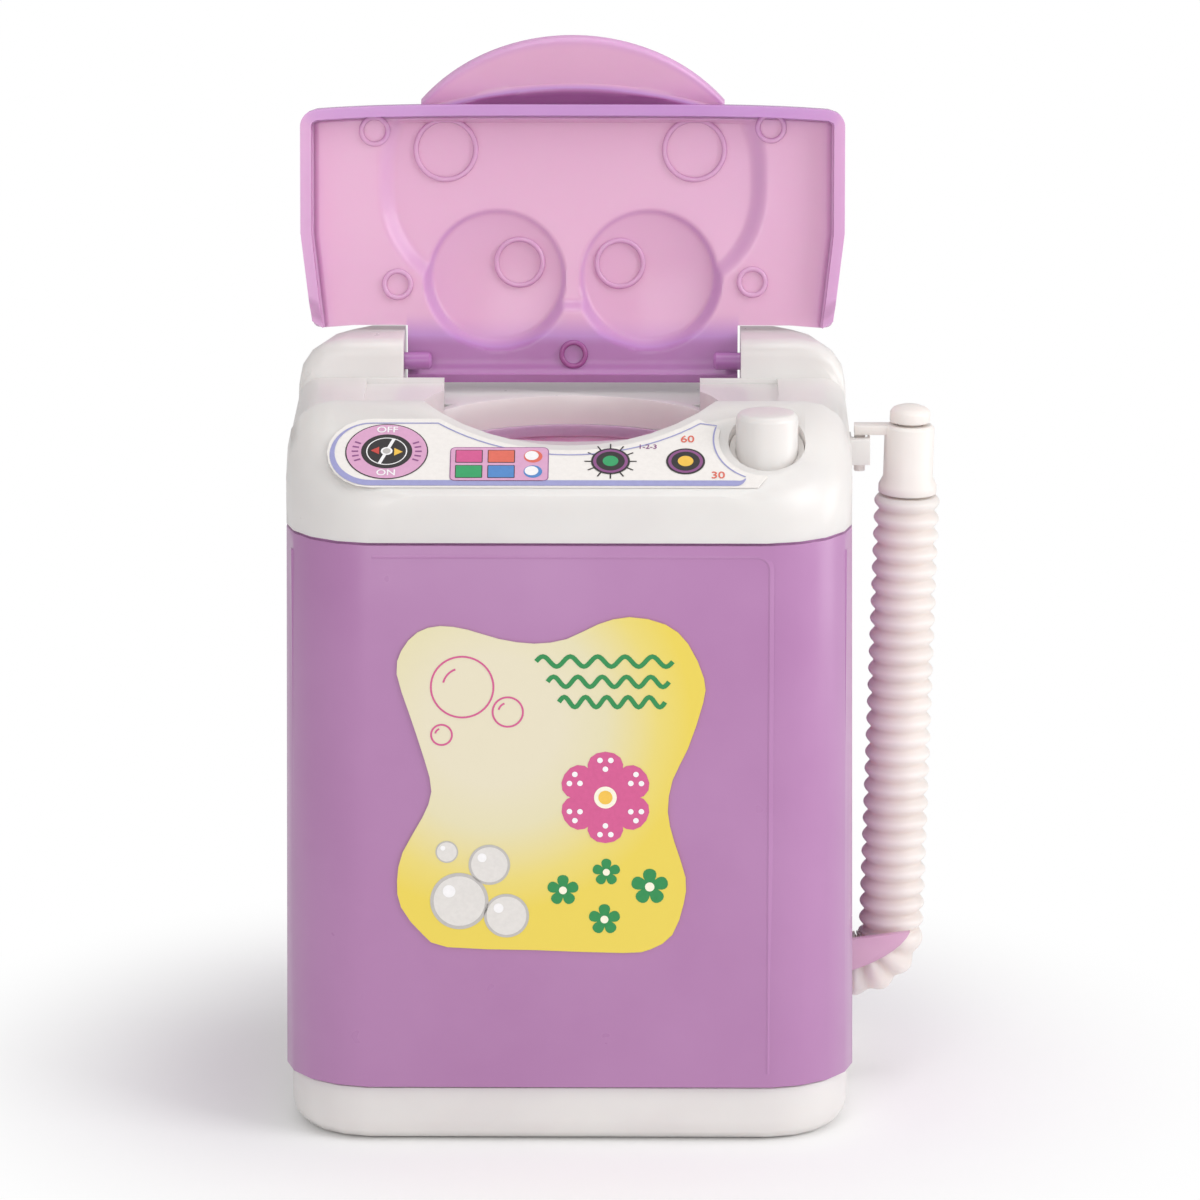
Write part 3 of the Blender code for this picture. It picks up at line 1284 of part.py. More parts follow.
def hose_centreline():
    """Smooth centreline of the hose: out of the housing, round the bend and up."""
    centre = (HOSE_X_LOW - HOSE_BEND, HOSE_Z + HOSE_BEND)
    top = Vector((HOSE_X_TOP, TUB_Y, BELLOWS_TOP))
    run = [Vector((HOSE_START, TUB_Y, HOSE_Z)), Vector((centre[0], TUB_Y, HOSE_Z))]
    bend = [
        Vector((x, TUB_Y, z)) for x,
        z in arc(centre, HOSE_BEND, -math.pi / 2, HOSE_LEAN, HOSE_BEND_STEPS)
    ]
    return run + bend[1:] + [top]


def along(line, distance):
    """Point on a chain of straight pieces at a distance from its start."""
    for a, b in zip(line, line[1:]):
        step = (b - a).length
        if distance <= step:
            return a + (b - a) * (distance / step)
        distance -= step
    return line[-1]


def make_drain_hose():
    """Bellows hose: a pipe whose outside swells in even rings along its whole path."""
    line = hose_centreline()
    length = sum((b - a).length for a, b in zip(line, line[1:]))
    rings = round(length / HOSE_PITCH)
    swell = (HOSE_ROOT, HOSE_RADIUS)
    steps = rings * len(swell)
    path = [along(line, length * i / steps) for i in range(steps + 1)]
    radii = [swell[i % len(swell)] for i in range(steps + 1)]
    return swept_pipe("drain_hose", path, radii, HOSE_BORE, "hose", bore_step=BORE_STEP)


def lean(made):
    """Tilt a fitting, drawn upright about the hose's top end, to the hose's lean."""
    pivot = Vector((HOSE_X_TOP, TUB_Y, BELLOWS_TOP))
    turn = Matrix.Translation(pivot) @ Matrix.Rotation(HOSE_LEAN, 4, "Y") @ Matrix.Translation(-pivot)
    made.data.transform(turn)
    return made


def make_hose_sleeve():
    """Smooth end fitting of the hose, with the arm and pin that hook in the cover's ear."""
    low = BELLOWS_TOP + GAP
    centre = (HOSE_X_TOP, TUB_Y)
    spigot = HOSE_BORE - GAP
    profile = [
        (SLEEVE_BORE, low - SLEEVE_SPIGOT), (spigot, low - SLEEVE_SPIGOT), (spigot, low),
        (SLEEVE_RADIUS + SLEEVE_RIM / 2, low), (SLEEVE_RADIUS + SLEEVE_RIM / 2, low + SLEEVE_RIM),
        (SLEEVE_RADIUS, low + 2 * SLEEVE_RIM), (SLEEVE_RADIUS, SLEEVE_TOP - GAP),
        (SLEEVE_RADIUS - GAP, SLEEVE_TOP),
        (SLEEVE_BORE, SLEEVE_TOP),
    ]
    sleeve = lean(turned_ring("hose_sleeve", profile, centre, "white", sides=FITTING_SIDES))
    arm_low = (HOOK_PIN_X - HOOK_PIN_RADIUS, TUB_Y - HOOK_ARM_WIDTH / 2, ARM_BOTTOM)
    arm_high = (
        HOSE_X_TOP - (SLEEVE_RADIUS + SLEEVE_BORE) / 2, TUB_Y + HOOK_ARM_WIDTH / 2,
        ARM_BOTTOM + HOOK_ARM_HEIGHT
    )
    join(sleeve, block("arm", arm_low, arm_high, "white"))
    pin = rod(
        "pin", HOOK_PIN_RADIUS, EAR_TOP - EAR_HEIGHT - HOOK_PIN_TIP, ARM_BOTTOM + GAP,
        (HOOK_PIN_X, TUB_Y), "white",
        sides=HOLE_SIDES,
    )
    return join(sleeve, pin)


def make_hose_plug():
    """Domed stopper whose stem fits in the sleeve."""
    low = SLEEVE_TOP + GAP
    stem = SLEEVE_BORE - GAP
    profile = [
        (0.0, low - PLUG_DEPTH), (stem - GAP, low - PLUG_DEPTH), (stem, low - PLUG_DEPTH + GAP),
        (stem, low),
        (PLUG_RADIUS, low), (PLUG_RADIUS, PLUG_TOP - PLUG_DOME),
        (PLUG_RADIUS - GAP, PLUG_TOP - PLUG_DOME / 2),
        (PLUG_RADIUS / 2, PLUG_TOP - PLUG_DOME / 8), (0.0, PLUG_TOP),
    ]
    return lean(turned("hose_plug", profile, (HOSE_X_TOP, TUB_Y), "white", sides=FITTING_SIDES))


def make_push_button():
    """Plunger with a domed cap, a stop flange and a thin stem."""
    profile = [
        (0.0, STEM_TIP), (STEM_RADIUS, STEM_TIP), (STEM_RADIUS, FLANGE_BOTTOM),
        (FLANGE_RADIUS, FLANGE_BOTTOM),
        (FLANGE_RADIUS, FLANGE_TOP), (BUTTON_RADIUS, FLANGE_TOP),
        (BUTTON_RADIUS, BUTTON_TOP - BUTTON_DOME),
        (BUTTON_RADIUS - BUTTON_DOME / 2, BUTTON_TOP - BUTTON_DOME / 4),
        (BUTTON_RADIUS / 2, BUTTON_TOP - BUTTON_DOME / 16),
        (0.0, BUTTON_TOP),
    ]
    return turned("push_button", profile, (BUTTON_X, BUTTON_Y), "white", sides=FITTING_SIDES)


def make_button_spring():
    """Coil spring between the tub's deck plate and the button's flange."""
    low = DECK_UNDER + TUB_DECK + GAP + SPRING_WIRE
    high = FLANGE_BOTTOM - GAP - SPRING_WIRE
    steps = SPRING_TURNS * TURN_STEPS
    path = []
    for i in range(steps + 1):
        share = i / steps
        angle = 2 * math.pi * SPRING_TURNS * share
        x = BUTTON_X + SPRING_RADIUS * math.cos(angle)
        y = BUTTON_Y + SPRING_RADIUS * math.sin(angle)
        path.append(Vector((x, y, low + (high - low) * share)))
    return swept_bar("button_spring", path, SPRING_WIRE, "steel", sides=WIRE_SIDES)


def dome(name, centre, half_width, half_length, rise, base, squareness=2.0, sides=ROUND_SIDES):
    """Rounded swelling on the lid, as a stack of shrinking outlines with a closed top."""
    rings = []
    for shrink, share in ((1.0, None), *DOME_STEPS):
        level = base if share is None else LID_INNER + rise * share
        ring = []
        for k in range(sides):
            angle = 2 * math.pi * k / sides
            x = math.copysign(abs(math.cos(angle)) ** (2 / squareness), math.cos(angle))
            u = math.copysign(abs(math.sin(angle)) ** (2 / squareness), math.sin(angle))
            ring.append(
                (centre[0] + half_width * shrink * x, -(centre[1] + half_length * shrink * u), level)
            )
        rings.append(ring)
    return loft(name, rings, "lilac", smooth_angle=LID_SMOOTH_ANGLE)


def head_form(spread, base):
    """The head's broad swelling, grown by a spread."""
    half_width = FACE_SCALE * HEAD_HALF_WIDTH + spread / 2
    half_length = FACE_SCALE * HEAD_HALF_LENGTH + spread / 2
    return dome(
        "head", (0.0, FACE_SCALE * HEAD_CENTRE), half_width, half_length, HEAD_RISE + spread, base,
        HEAD_SQUARENESS
    )


def cheek_form(side, spread, base):
    """One round cheek, grown by a spread."""
    radius = FACE_SCALE * CHEEK_RADIUS + spread / 2
    return dome(
        "cheek", (side * FACE_SCALE * CHEEK_SPREAD, FACE_SCALE * CHEEK_CENTRE), radius, radius,
        CHEEK_RISE + spread, base
    )


def face_form(spread, base, front):
    """The raised face as one solid: head, two cheeks, and the flat steps of eyes and nostrils."""
    form = head_form(spread, base)
    for side in (-1, 1):
        join(form, cheek_form(side, spread, base))
        top = LID_INNER + 2 * CHEEK_RISE
        eye = rod(
            "eye", FACE_SCALE * EYE_RADIUS + spread / 2, base, top,
            (side * FACE_SCALE * EYE_SPREAD, -FACE_SCALE * EYE_CENTRE), "lilac", sides=FITTING_SIDES
        )
        join(form, combine(eye, head_form(spread + DISC_RISE, base), "INTERSECT"))
        nostril_at = (side * FACE_SCALE * NOSTRIL_SPREAD, -FACE_SCALE * NOSTRIL_CENTRE)
        nostril = rod(
            "nostril", FACE_SCALE * NOSTRIL_RADIUS + spread / 2, base, top, nostril_at, "lilac",
            sides=FITTING_SIDES
        )
        join(form, combine(nostril, cheek_form(side, spread + DISC_RISE, base), "INTERSECT"))
    limit = block(
        "limit", (-HALF_WIDTH, -front, base - WALL), (HALF_WIDTH, LID_REAR, LID_INNER + CHEEK_RISE * 2),
        "lilac"
    )
    return combine(form, limit, "INTERSECT")


def lid_outline(inset, front_corner):
    """Plan outline of the shut lid, forward distance as -Y, with tapered rear wings."""
    half = HALF_WIDTH - LID_SIDE_GAP - inset
    front = LID_REACH - inset
    points = arc(
        (half - front_corner, -front + front_corner), front_corner, -math.pi / 2, 0.0, FILLET_STEPS
    )
    points.append((half, -LID_REACH / 2))
    wing_centre = (half - LID_TAPER - LID_CORNER, -(LID_REAR - WING_SWEEP + LID_CORNER))
    points += arc(wing_centre, LID_CORNER, 0.0, math.pi / 2, FILLET_STEPS)
    points.append((WING_STRAIGHT, -LID_REAR))
    mirrored = [(-x, y) for x, y in reversed(points)]
    return points + mirrored


def make_lid():
    """Clear lilac lid with skirt, raised face, tongue, hinge pins and finger tab."""
    skirt_low = LID_INNER - SKIRT_DEPTH
    top = LID_INNER + LID_WALL
    soft = LID_EDGE * (1 - math.sin(math.pi / 4))
    levels = [(skirt_low, 0.0), (top - LID_EDGE, 0.0), (top - soft, soft), (top, LID_EDGE)]
    rings = []
    for level, inset in levels:
        rings.append([(x, y, level) for x, y in lid_outline(inset, LID_FRONT_CORNER)])
    lid = loft("lid", rings, "lilac", smooth_angle=LID_SMOOTH_ANGLE)
    front_face = LID_REACH - LID_EDGE
    join(lid, face_form(LID_WALL, LID_INNER - GAP, front_face))

    profile = [(-2 * LID_CORNER, LID_INNER), (-2 * LID_CORNER, top), (0.0, top)]
    profile += arc((0.0, 0.0), top, math.pi / 2, math.pi / 2 - TONGUE_WRAP, BEND_STEPS)[1:]
    profile += reversed(arc((0.0, 0.0), LID_INNER, math.pi / 2, math.pi / 2 - TONGUE_WRAP, BEND_STEPS))
    tongue = extrude_outline(
        "tongue", profile, -TONGUE_HALF_WIDTH, TONGUE_HALF_WIDTH, "lilac", axis="X"
    )
    join(lid, tongue)

    hollow = lid_outline(LID_WALL, LID_FRONT_CORNER / 2)
    open_rear = -LID_REAR - LID_CORNER
    wing_root = TONGUE_HALF_WIDTH + GAP
    hollow = [(x, y + 3 * LID_WALL if y > open_rear else y) for x, y in hollow]
    cut(lid, extrude_outline("hollow", hollow, skirt_low - WALL, LID_INNER, "lilac"))
    cut(lid, face_form(0.0, skirt_low, LID_REACH - LID_WALL))
    for side in (-1, 1):
        ends = sorted((side * wing_root, side * HALF_WIDTH))
        low = (ends[0], -WING_OPEN, skirt_low - WALL)
        cut(lid, block("wing_opening", low, (ends[1], 0.0, LID_INNER - WING_LIFT + GAP), "lilac"))

    for side in (-1, 1):
        ends = sorted((side * PIN_ROOT, side * PIN_REACH))
        join(
            lid,
            rod("pin", PIN_RADIUS, ends[0], ends[1], (0.0, 0.0), "lilac", axis="X", sides=HOLE_SIDES)
        )
        web = sorted((side * (TONGUE_HALF_WIDTH - WALL), side * (TONGUE_HALF_WIDTH - GAP)))
        web_half = PIN_RADIUS - WEB_INSET
        join(
            lid,
            block(
                "web", (web[0], -web_half, 0.0), (web[1], web_half, LID_INNER + LID_WALL / 2), "lilac"
            )
        )

    radius = (TAB_HALF_WIDTH**2 + TAB_LENGTH**2) / (2 * TAB_LENGTH)
    half_angle = math.asin(TAB_HALF_WIDTH / radius)
    tip = arc(
        (0.0, radius - TAB_LENGTH), radius, -math.pi / 2 - half_angle, -math.pi / 2 + half_angle,
        TAB_STEPS
    )
    tab_outline = tip + [(TAB_HALF_WIDTH, LID_WALL), (-TAB_HALF_WIDTH, LID_WALL)]
    tab = extrude_outline("tab", tab_outline, 0.0, LID_WALL, "lilac")
    lens_radius = (LENS_HALF_WIDTH**2 + LENS_LENGTH**2) / (2 * LENS_LENGTH)
    lens_angle = math.asin(LENS_HALF_WIDTH / lens_radius)
    lens_start = -math.pi / 2 - lens_angle
    lens_stop = -math.pi / 2 + lens_angle
    lens = arc((0.0, lens_radius - LENS_LENGTH), lens_radius, lens_start, lens_stop, 2 * BEND_STEPS)
    lens += [(LENS_HALF_WIDTH, LID_WALL), (-LENS_HALF_WIDTH, LID_WALL)]
    join(tab, extrude_outline("lens", lens, -LENS_STEP, LID_WALL / 2, "lilac"))
    slope = Matrix.Rotation(PANEL_SLOPE, 4, "X")
    tab.data.transform(Matrix.Translation((0.0, -LID_REACH, LID_INNER + GAP)) @ slope)
    join(lid, tab)

    lid.location = (0.0, HINGE_Y, HINGE_Z)
    lid.rotation_euler = (-LID_OPEN, 0.0, 0.0)
    return lid


def panel_film(name, outline, finish):
    """Thin printed film that follows the sloped panel."""
    rings = []
    for lift in (FILM_GAP, FILM_GAP + FILM):
        rings.append([(x, y, panel_height(y) + lift) for x, y in outline])
    return loft(name, rings, finish)


def make_panel_label():
    """Film with the dials: round at its left, cut away round the recess and the button well."""
    top_y = CREST_Y - LABEL_TOP_SETBACK
    bottom_y = -HALF_DEPTH + PANEL_LABEL_MARGIN
    left_radius = (top_y - bottom_y) / 2
    middle = (top_y + bottom_y) / 2
    left_centre = (PANEL_LABEL_LEFT + left_radius, middle)
    outline = arc(left_centre, left_radius, math.pi / 2, 3 * math.pi / 2, LABEL_END_STEPS)
    well_clear = WELL_RADIUS + PANEL_LABEL_MARGIN
    outline += [(BUTTON_X - PANEL_LABEL_MARGIN, bottom_y)]
    outline += reversed(
        arc((BUTTON_X, BUTTON_Y), well_clear, LABEL_WELL_START, 3 * math.pi / 2, LABEL_WELL_STEPS)
    )
    clear = RECESS_RADIUS + PANEL_LABEL_MARGIN
    centre_y = TUB_Y + RECESS_OFFSET
    reach = math.acos((centre_y - top_y) / clear)
    dip = arc((0.0, centre_y), clear, 3 * math.pi / 2 + reach, 3 * math.pi / 2 - reach, LABEL_DIP_STEPS)
    outline += [(x, y) for x, y in dip if x < outline[-1][0] - GAP]
    return panel_film("panel_label", outline, "film")


def make_front_label():
    """Paper label with a wavy outline, stuck on the housing's front face."""
    low = BASE_HEIGHT + GAP
    fall = (front_face_y(HOUSING_TOP) - front_face_y(low)) / (HOUSING_TOP - low)
    corners = [Vector((x, 0.0, z)) for x, z in LABEL_EDGE]
    edge = smooth_loop(corners, LABEL_STEPS)
    rings = []
    for lift in (FILM_GAP, FILM_GAP + FILM):
        ring = []
        for corner in edge:
            ring.append((corner.x, front_face_y(low) + fall * (corner.z - low) - lift, corner.z))
        rings.append(ring)
    return loft("front_label", rings, "paper")


def build():
    """Model every piece of the toy."""
    clear_scene()
    FINISH.update(finish_colours())
    make_housing()
    make_top_cover()
    make_inner_tub()
    make_base_tray()
    make_battery_door()
    make_screw("door_screw", (DOOR_LUG_X, DOOR_SCREW_Y), DOOR_SCREW_SINK, DOOR_SCREW_LENGTH)
    for name, side in (("base_screw_left", -1), ("base_screw_right", 1)):
        make_screw(
            name, (side * POST_X, -POST_Y), BASE_SCREW_SEAT - GAP - SCREW_HEAD, BASE_SCREW_LENGTH
        )
    foot_under = TUB_FLOOR_TOP - TUB_FLOOR - BOSS_DROP - GAP - BRACKET
    for name, side in (("bracket_screw_left", -1), ("bracket_screw_right", 1)):
        length = BRACKET + BRACKET_SCREW_BITE
        make_screw(name, (side * BOSS_X, TUB_Y), foot_under - GAP - SCREW_HEAD, length)
    make_motor()
    make_motor_bracket()
    make_shaft_seal()
    make_drive()
    make_battery()
    make_contacts()
    make_leaf("switch_leaf_fixed", LEAF_LOW)
    make_leaf("switch_leaf_moving", LEAF_HIGH)
    make_leads()
    make_drain_elbow()
    make_drain_hose()
    make_hose_sleeve()
    make_hose_plug()
    make_push_button()
    make_button_spring()
    make_lid()
    make_panel_label()
    make_front_label()


build()
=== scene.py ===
# %% [markdown]
# # A toy washing machine, dressed in Blender
#
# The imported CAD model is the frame: it says where every piece is and what it moves with.
# This lesson gives each visible piece its finish. Some pieces keep their CAD solid, some are
# softened copies of it, and the lid, the hose, the screws and the prints are made here.

# %% Load the frame
import json
import math

import bmesh
import bpy
from mathutils import Matrix, Vector


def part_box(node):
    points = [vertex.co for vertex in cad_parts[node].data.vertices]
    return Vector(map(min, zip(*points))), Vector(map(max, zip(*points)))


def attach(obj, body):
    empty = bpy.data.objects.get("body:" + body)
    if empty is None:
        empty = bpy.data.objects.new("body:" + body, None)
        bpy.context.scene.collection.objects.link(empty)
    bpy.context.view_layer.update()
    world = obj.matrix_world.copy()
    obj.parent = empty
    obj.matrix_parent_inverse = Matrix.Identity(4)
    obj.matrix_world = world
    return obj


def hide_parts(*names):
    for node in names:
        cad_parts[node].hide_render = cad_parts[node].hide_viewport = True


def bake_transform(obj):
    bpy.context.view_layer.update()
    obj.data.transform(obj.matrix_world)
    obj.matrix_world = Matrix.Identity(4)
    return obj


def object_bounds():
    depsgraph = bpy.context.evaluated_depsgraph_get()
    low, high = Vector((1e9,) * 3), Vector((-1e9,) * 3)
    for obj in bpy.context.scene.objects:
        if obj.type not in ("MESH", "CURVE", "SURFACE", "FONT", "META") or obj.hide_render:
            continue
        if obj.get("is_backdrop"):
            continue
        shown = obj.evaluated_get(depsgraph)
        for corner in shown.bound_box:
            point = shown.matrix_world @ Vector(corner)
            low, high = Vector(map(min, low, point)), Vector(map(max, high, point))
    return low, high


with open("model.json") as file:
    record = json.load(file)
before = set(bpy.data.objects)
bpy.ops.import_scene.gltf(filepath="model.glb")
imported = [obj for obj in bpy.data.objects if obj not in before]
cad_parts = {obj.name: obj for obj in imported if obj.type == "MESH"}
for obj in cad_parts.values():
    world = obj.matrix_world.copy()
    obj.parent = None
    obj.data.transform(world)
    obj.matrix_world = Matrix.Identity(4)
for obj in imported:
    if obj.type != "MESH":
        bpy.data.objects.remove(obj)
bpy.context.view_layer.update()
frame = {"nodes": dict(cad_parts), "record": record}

MM = 0.001
BODY_OF = {
    node: body
    for body, nodes in frame["record"]["behaviour"]["bodies"].items()
    for node in nodes
}

# %% [markdown]
# ## The camera
#
# A long lens far away keeps upright lines upright, as product photographs do. The camera looks
# slightly down on the control panel and stands almost straight in front of it.

# %% Camera
CAMERA_DISTANCE = 0.800
CAMERA_TURN = math.radians(0.4)
CAMERA_TILT = math.radians(13.9)
CAMERA_AIM = Vector((0.00315, 0.0, 0.0538))
CAMERA_LENS = 221.0
SENSOR = 36.0
CLIP_START = 0.01


def make_camera():
    """Place the camera on its line of sight and turn it to the aim point."""
    data = bpy.data.cameras.new("camera")
    data.lens = CAMERA_LENS
    data.sensor_width = SENSOR
    data.clip_start = CLIP_START
    camera = bpy.data.objects.new("camera", data)
    back = Vector((
        math.sin(CAMERA_TURN) * math.cos(CAMERA_TILT),
        -math.cos(CAMERA_TURN) * math.cos(CAMERA_TILT),
        math.sin(CAMERA_TILT),
    ))
    camera.location = CAMERA_AIM + back * CAMERA_DISTANCE
    camera.rotation_mode = "QUATERNION"
    camera.rotation_quaternion = (-back).to_track_quat("-Z", "Y")
    bpy.context.scene.collection.objects.link(camera)
    bpy.context.scene.camera = camera
    return camera


print("camera at", [round(value, 3) for value in make_camera().location])

# %% [markdown]
# ## Nodes made short
#
# A finish is a small tree of shader nodes. One helper adds a node, sets what is given and makes
# its links, so that each finish below reads as a short list.

# %% Node helper and colours
ROUGHNESS_SPREAD = 0.05
CLOUD_DETAIL = 3.0
CLOUD_FINENESS = 0.55
CLOUD_CONTRAST = (0.35, 0.65)
FINE_DETAIL = 2.0


def linear(code):
    """Turn an sRGB hex colour into the linear values that the shader wants."""
    values = []
    for start in (1, 3, 5):
        share = int(code[start:start + 2], 16) / 255
        values.append(share / 12.92 if share <= 0.04045 else ((share + 0.055) / 1.055) ** 2.4)
    return (*values, 1.0)


def fill_inputs(tree, node, inputs):
    """Link each input that is given a socket, and set each that is given a value."""
    for key, value in inputs.items():
        if isinstance(value, bpy.types.NodeSocket):
            tree.links.new(value, node.inputs[key])
        else:
            node.inputs[key].default_value = value


def add_node(tree, kind, inputs=None, **settings):
    """Add a node, set its properties, and fill or link its inputs."""
    node = tree.nodes.new(kind)
    for key, value in settings.items():
        setattr(node, key, value)
    fill_inputs(tree, node, inputs or {})
    return node


def start_finish(name):
    """Make a material and give back it, its tree, its shader and the place on the object."""
    finish = bpy.data.materials.new(name)
    finish.use_nodes = True
    tree = finish.node_tree
    tree.nodes.clear()
    shader = add_node(tree, "ShaderNodeBsdfPrincipled")
    add_node(tree, "ShaderNodeOutputMaterial", {"Surface": shader.outputs["BSDF"]})
    place = add_node(tree, "ShaderNodeTexCoord").outputs["Object"]
    return finish, tree, shader, place


def two_tone(tree, place, size, colours):
    """Blend two near colours in soft clouds of a real size."""
    noise = add_node(
        tree, "ShaderNodeTexNoise",
        {"Vector": place, "Scale": 1 / size, "Detail": CLOUD_DETAIL, "Roughness": CLOUD_FINENESS},
    )
    ramp = add_node(tree, "ShaderNodeValToRGB", {"Fac": noise.outputs["Fac"]})
    for element, position, colour in zip(ramp.color_ramp.elements, CLOUD_CONTRAST, colours):
        element.position = position
        element.color = linear(colour)
    return ramp.outputs["Color"]


def fill_ramp(ramp, colours):
    """Give a colour ramp its stops, listed as (position, colour)."""
    stops = ramp.color_ramp.elements
    for position, _ in colours[1:-1]:
        stops.new(position)
    for stop, (position, colour) in zip(stops, colours):
        stop.position = position
        stop.color = linear(colour)


def uneven(tree, place, size, middle):
    """Let the roughness wander a little about its middle."""
    noise = add_node(
        tree, "ShaderNodeTexNoise", {"Vector": place, "Scale": 1 / size, "Detail": FINE_DETAIL}
    )
    low, high = middle - ROUGHNESS_SPREAD, middle + ROUGHNESS_SPREAD
    inputs = {"Value": noise.outputs["Fac"], "To Min": low, "To Max": high}
    return add_node(tree, "ShaderNodeMapRange", inputs).outputs["Result"]


def skin(tree, place, size, depth):
    """Bump of a moulded skin: low swells of a real width and depth."""
    noise = add_node(
        tree, "ShaderNodeTexNoise", {"Vector": place, "Scale": 1 / size, "Detail": FINE_DETAIL}
    )
    bump = add_node(tree, "ShaderNodeBump", {"Height": noise.outputs["Fac"], "Distance": depth})
    return bump.outputs["Normal"]


print("orange reads as", [round(value, 3) for value in linear("#e08040")[:3]])

# %% [markdown]
# ## Moulded plastics
#
# The toy is polystyrene and ABS, moulded in polished steel tools. That gives a soft gloss, faint
# clouds where the pigment is not quite even, and a barely wavy skin over the thin walls.
# Noise on Object coordinates carries all three, at sizes taken from real mouldings.

# %% Moulded plastic finishes
CLOUD = 14 * MM
FINE_CLOUD = 3.0 * MM
SKIN_WAVE = 7 * MM
SKIN_DEPTH = 0.05 * MM
PLASTIC_IOR = 1.50


def moulded(name, colours, roughness, wave=SKIN_WAVE):
    """Glossy moulded plastic with clouded pigment and a faintly wavy skin."""
    finish, tree, shader, place = start_finish(name)
    fill_inputs(tree, shader, {
        "Base Color": two_tone(tree, place, CLOUD, colours),
        "Roughness": uneven(tree, place, FINE_CLOUD, roughness),
        "Normal": skin(tree, place, wave, SKIN_DEPTH),
        "IOR": PLASTIC_IOR,
    })
    return finish, shader


def let_light_in(shader, weight, radius, scale):
    """Let light enter the plastic and come out a little way off."""
    shader.inputs["Subsurface Weight"].default_value = weight
    shader.inputs["Subsurface Radius"].default_value = radius
    shader.inputs["Subsurface Scale"].default_value = scale


# Polystyrene with a pearl pigment: its gloss is wide and soft
PURPLE, purple_shader = moulded("moulded_purple_polystyrene", ("#af7aab", "#b37faf"), 0.30)
purple_shader.inputs["Sheen Weight"].default_value = 0.15
# White ABS, slightly warm, shining a little more
WHITE, white_shader = moulded("moulded_white_abs", ("#e1dcda", "#e6e2df"), 0.30)
# Soft white polythene of the plug and the sleeve
SOFT_WHITE, soft_shader = moulded("moulded_soft_white_polythene", ("#ece3de", "#f1e9e4"), 0.42)
# The tub is a pinker batch of the same polystyrene, thin enough to pass some light
TUB_PINK, tub_shader = moulded("moulded_pink_polystyrene", ("#f0a4cf", "#f4aed5"), 0.32)
# The little fin beside the hose is so thin that it looks pale and rosy
THIN_PURPLE, thin_shader = moulded("moulded_thin_purple_polystyrene", ("#e6b7d6", "#ecc0dc"), 0.30)
thin_shader.inputs["Alpha"].default_value = 0.72
for shader, weight in ((white_shader, 0.30), (soft_shader, 0.40), (tub_shader, 1.0)):
    let_light_in(shader, weight, (1.0, 0.85, 0.8), 2.5 * MM)
print("finishes:", [finish.name for finish in (PURPLE, WHITE, SOFT_WHITE, TUB_PINK, THIN_PURPLE)])

# %% [markdown]
# ## The milky hose
#
# The drain hose is blow-moulded from natural polythene. The wall is thin, so light gets into it:
# the valleys between the rings look warmer and deeper than the crests.

# %% Hose finish
MILKY, milky_shader = moulded("blow_moulded_natural_polythene", ("#e2d9d4", "#e8e0db"), 0.36)
let_light_in(milky_shader, 0.85, (1.0, 0.90, 0.84), 4.0 * MM)
print("hose finish:", MILKY.name)

# %% [markdown]
# ## Metals, rubber and the parts inside
#
# Little of these shows, but the back, the underside and an open tub let the eye in. Plated steel
# is bright with fine drawing lines, brass is warmer, and the rubber seal is dull and dusty.

# %% Finishes of the parts inside
DRAW_LINE = 0.25 * MM
DRAW_STRETCH = (1.0, 1.0, 0.05)


def drawn_metal(name, colours, roughness):
    """Metal with fine lines from the roll or the die."""
    finish, tree, shader, place = start_finish(name)
    stretched = add_node(tree, "ShaderNodeMapping", {"Vector": place, "Scale": DRAW_STRETCH})
    drawn = stretched.outputs["Vector"]
    fill_inputs(tree, shader, {
        "Base Color": two_tone(tree, drawn, DRAW_LINE, colours),
        "Roughness": uneven(tree, drawn, DRAW_LINE, roughness),
        "Metallic": 1.0,
    })
    return finish


STEEL = drawn_metal("plated_steel", ("#b9bcc0", "#cfd2d5"), 0.28)
BRASS = drawn_metal("rolled_brass", ("#c29a55", "#d3ad68"), 0.30)
BLACK, _ = moulded("moulded_black_nylon", ("#1a1a1b", "#232324"), 0.45)
RUBBER, _ = moulded("moulded_black_rubber", ("#1c1b1b", "#2a2928"), 0.75, wave=1 * MM)
RED_SLEEVE, _ = moulded("extruded_red_pvc", ("#a3201c", "#b52a24"), 0.42, wave=2 * MM)
CELL_WRAP, _ = moulded("shrunk_green_film", ("#2f6b3a", "#377a44"), 0.30, wave=5 * MM)
print("inside finishes ready")

# %% [markdown]
# ## Softened copies of CAD solids
#
# A moulded edge is never razor sharp: a radius of one or two tenths of a millimetre catches a
# thin line of light. A copy of the CAD node is merged, its flat areas are cleaned, and a Bevel
# rounds its edges. The copy stands for the node and rides on the same body.

# %% Softening helper
MERGE = 1e-6
FLAT = math.radians(0.6)
EDGE = math.radians(32)
CREASE = math.radians(40)


def freeze(shape):
    """Turn an object with live modifiers into a plain mesh."""
    bpy.context.view_layer.update()
    graph = bpy.context.evaluated_depsgraph_get()
    result = bpy.data.meshes.new_from_object(shape.evaluated_get(graph))
    shape.modifiers.clear()
    shape.data = result
    result.name = shape.name
    return shape


def new_piece(name, mesh, finish=None):
    """Link a mesh as a new object at the origin."""
    piece = bpy.data.objects.new(name, mesh)
    bpy.context.scene.collection.objects.link(piece)
    if finish:
        mesh.materials.clear()
        mesh.materials.append(finish)
    return piece


def smooth(mesh):
    """Shade a mesh smooth except across its creases."""
    mesh.shade_smooth()
    mesh.set_sharp_from_angle(angle=CREASE)


def plain_mesh(name, shape):
    """Turn faces outward and end the work on a shape as a plain mesh."""
    bmesh.ops.recalc_face_normals(shape, faces=shape.faces)
    mesh = bpy.data.meshes.new(name)
    shape.to_mesh(mesh)
    shape.free()
    return mesh


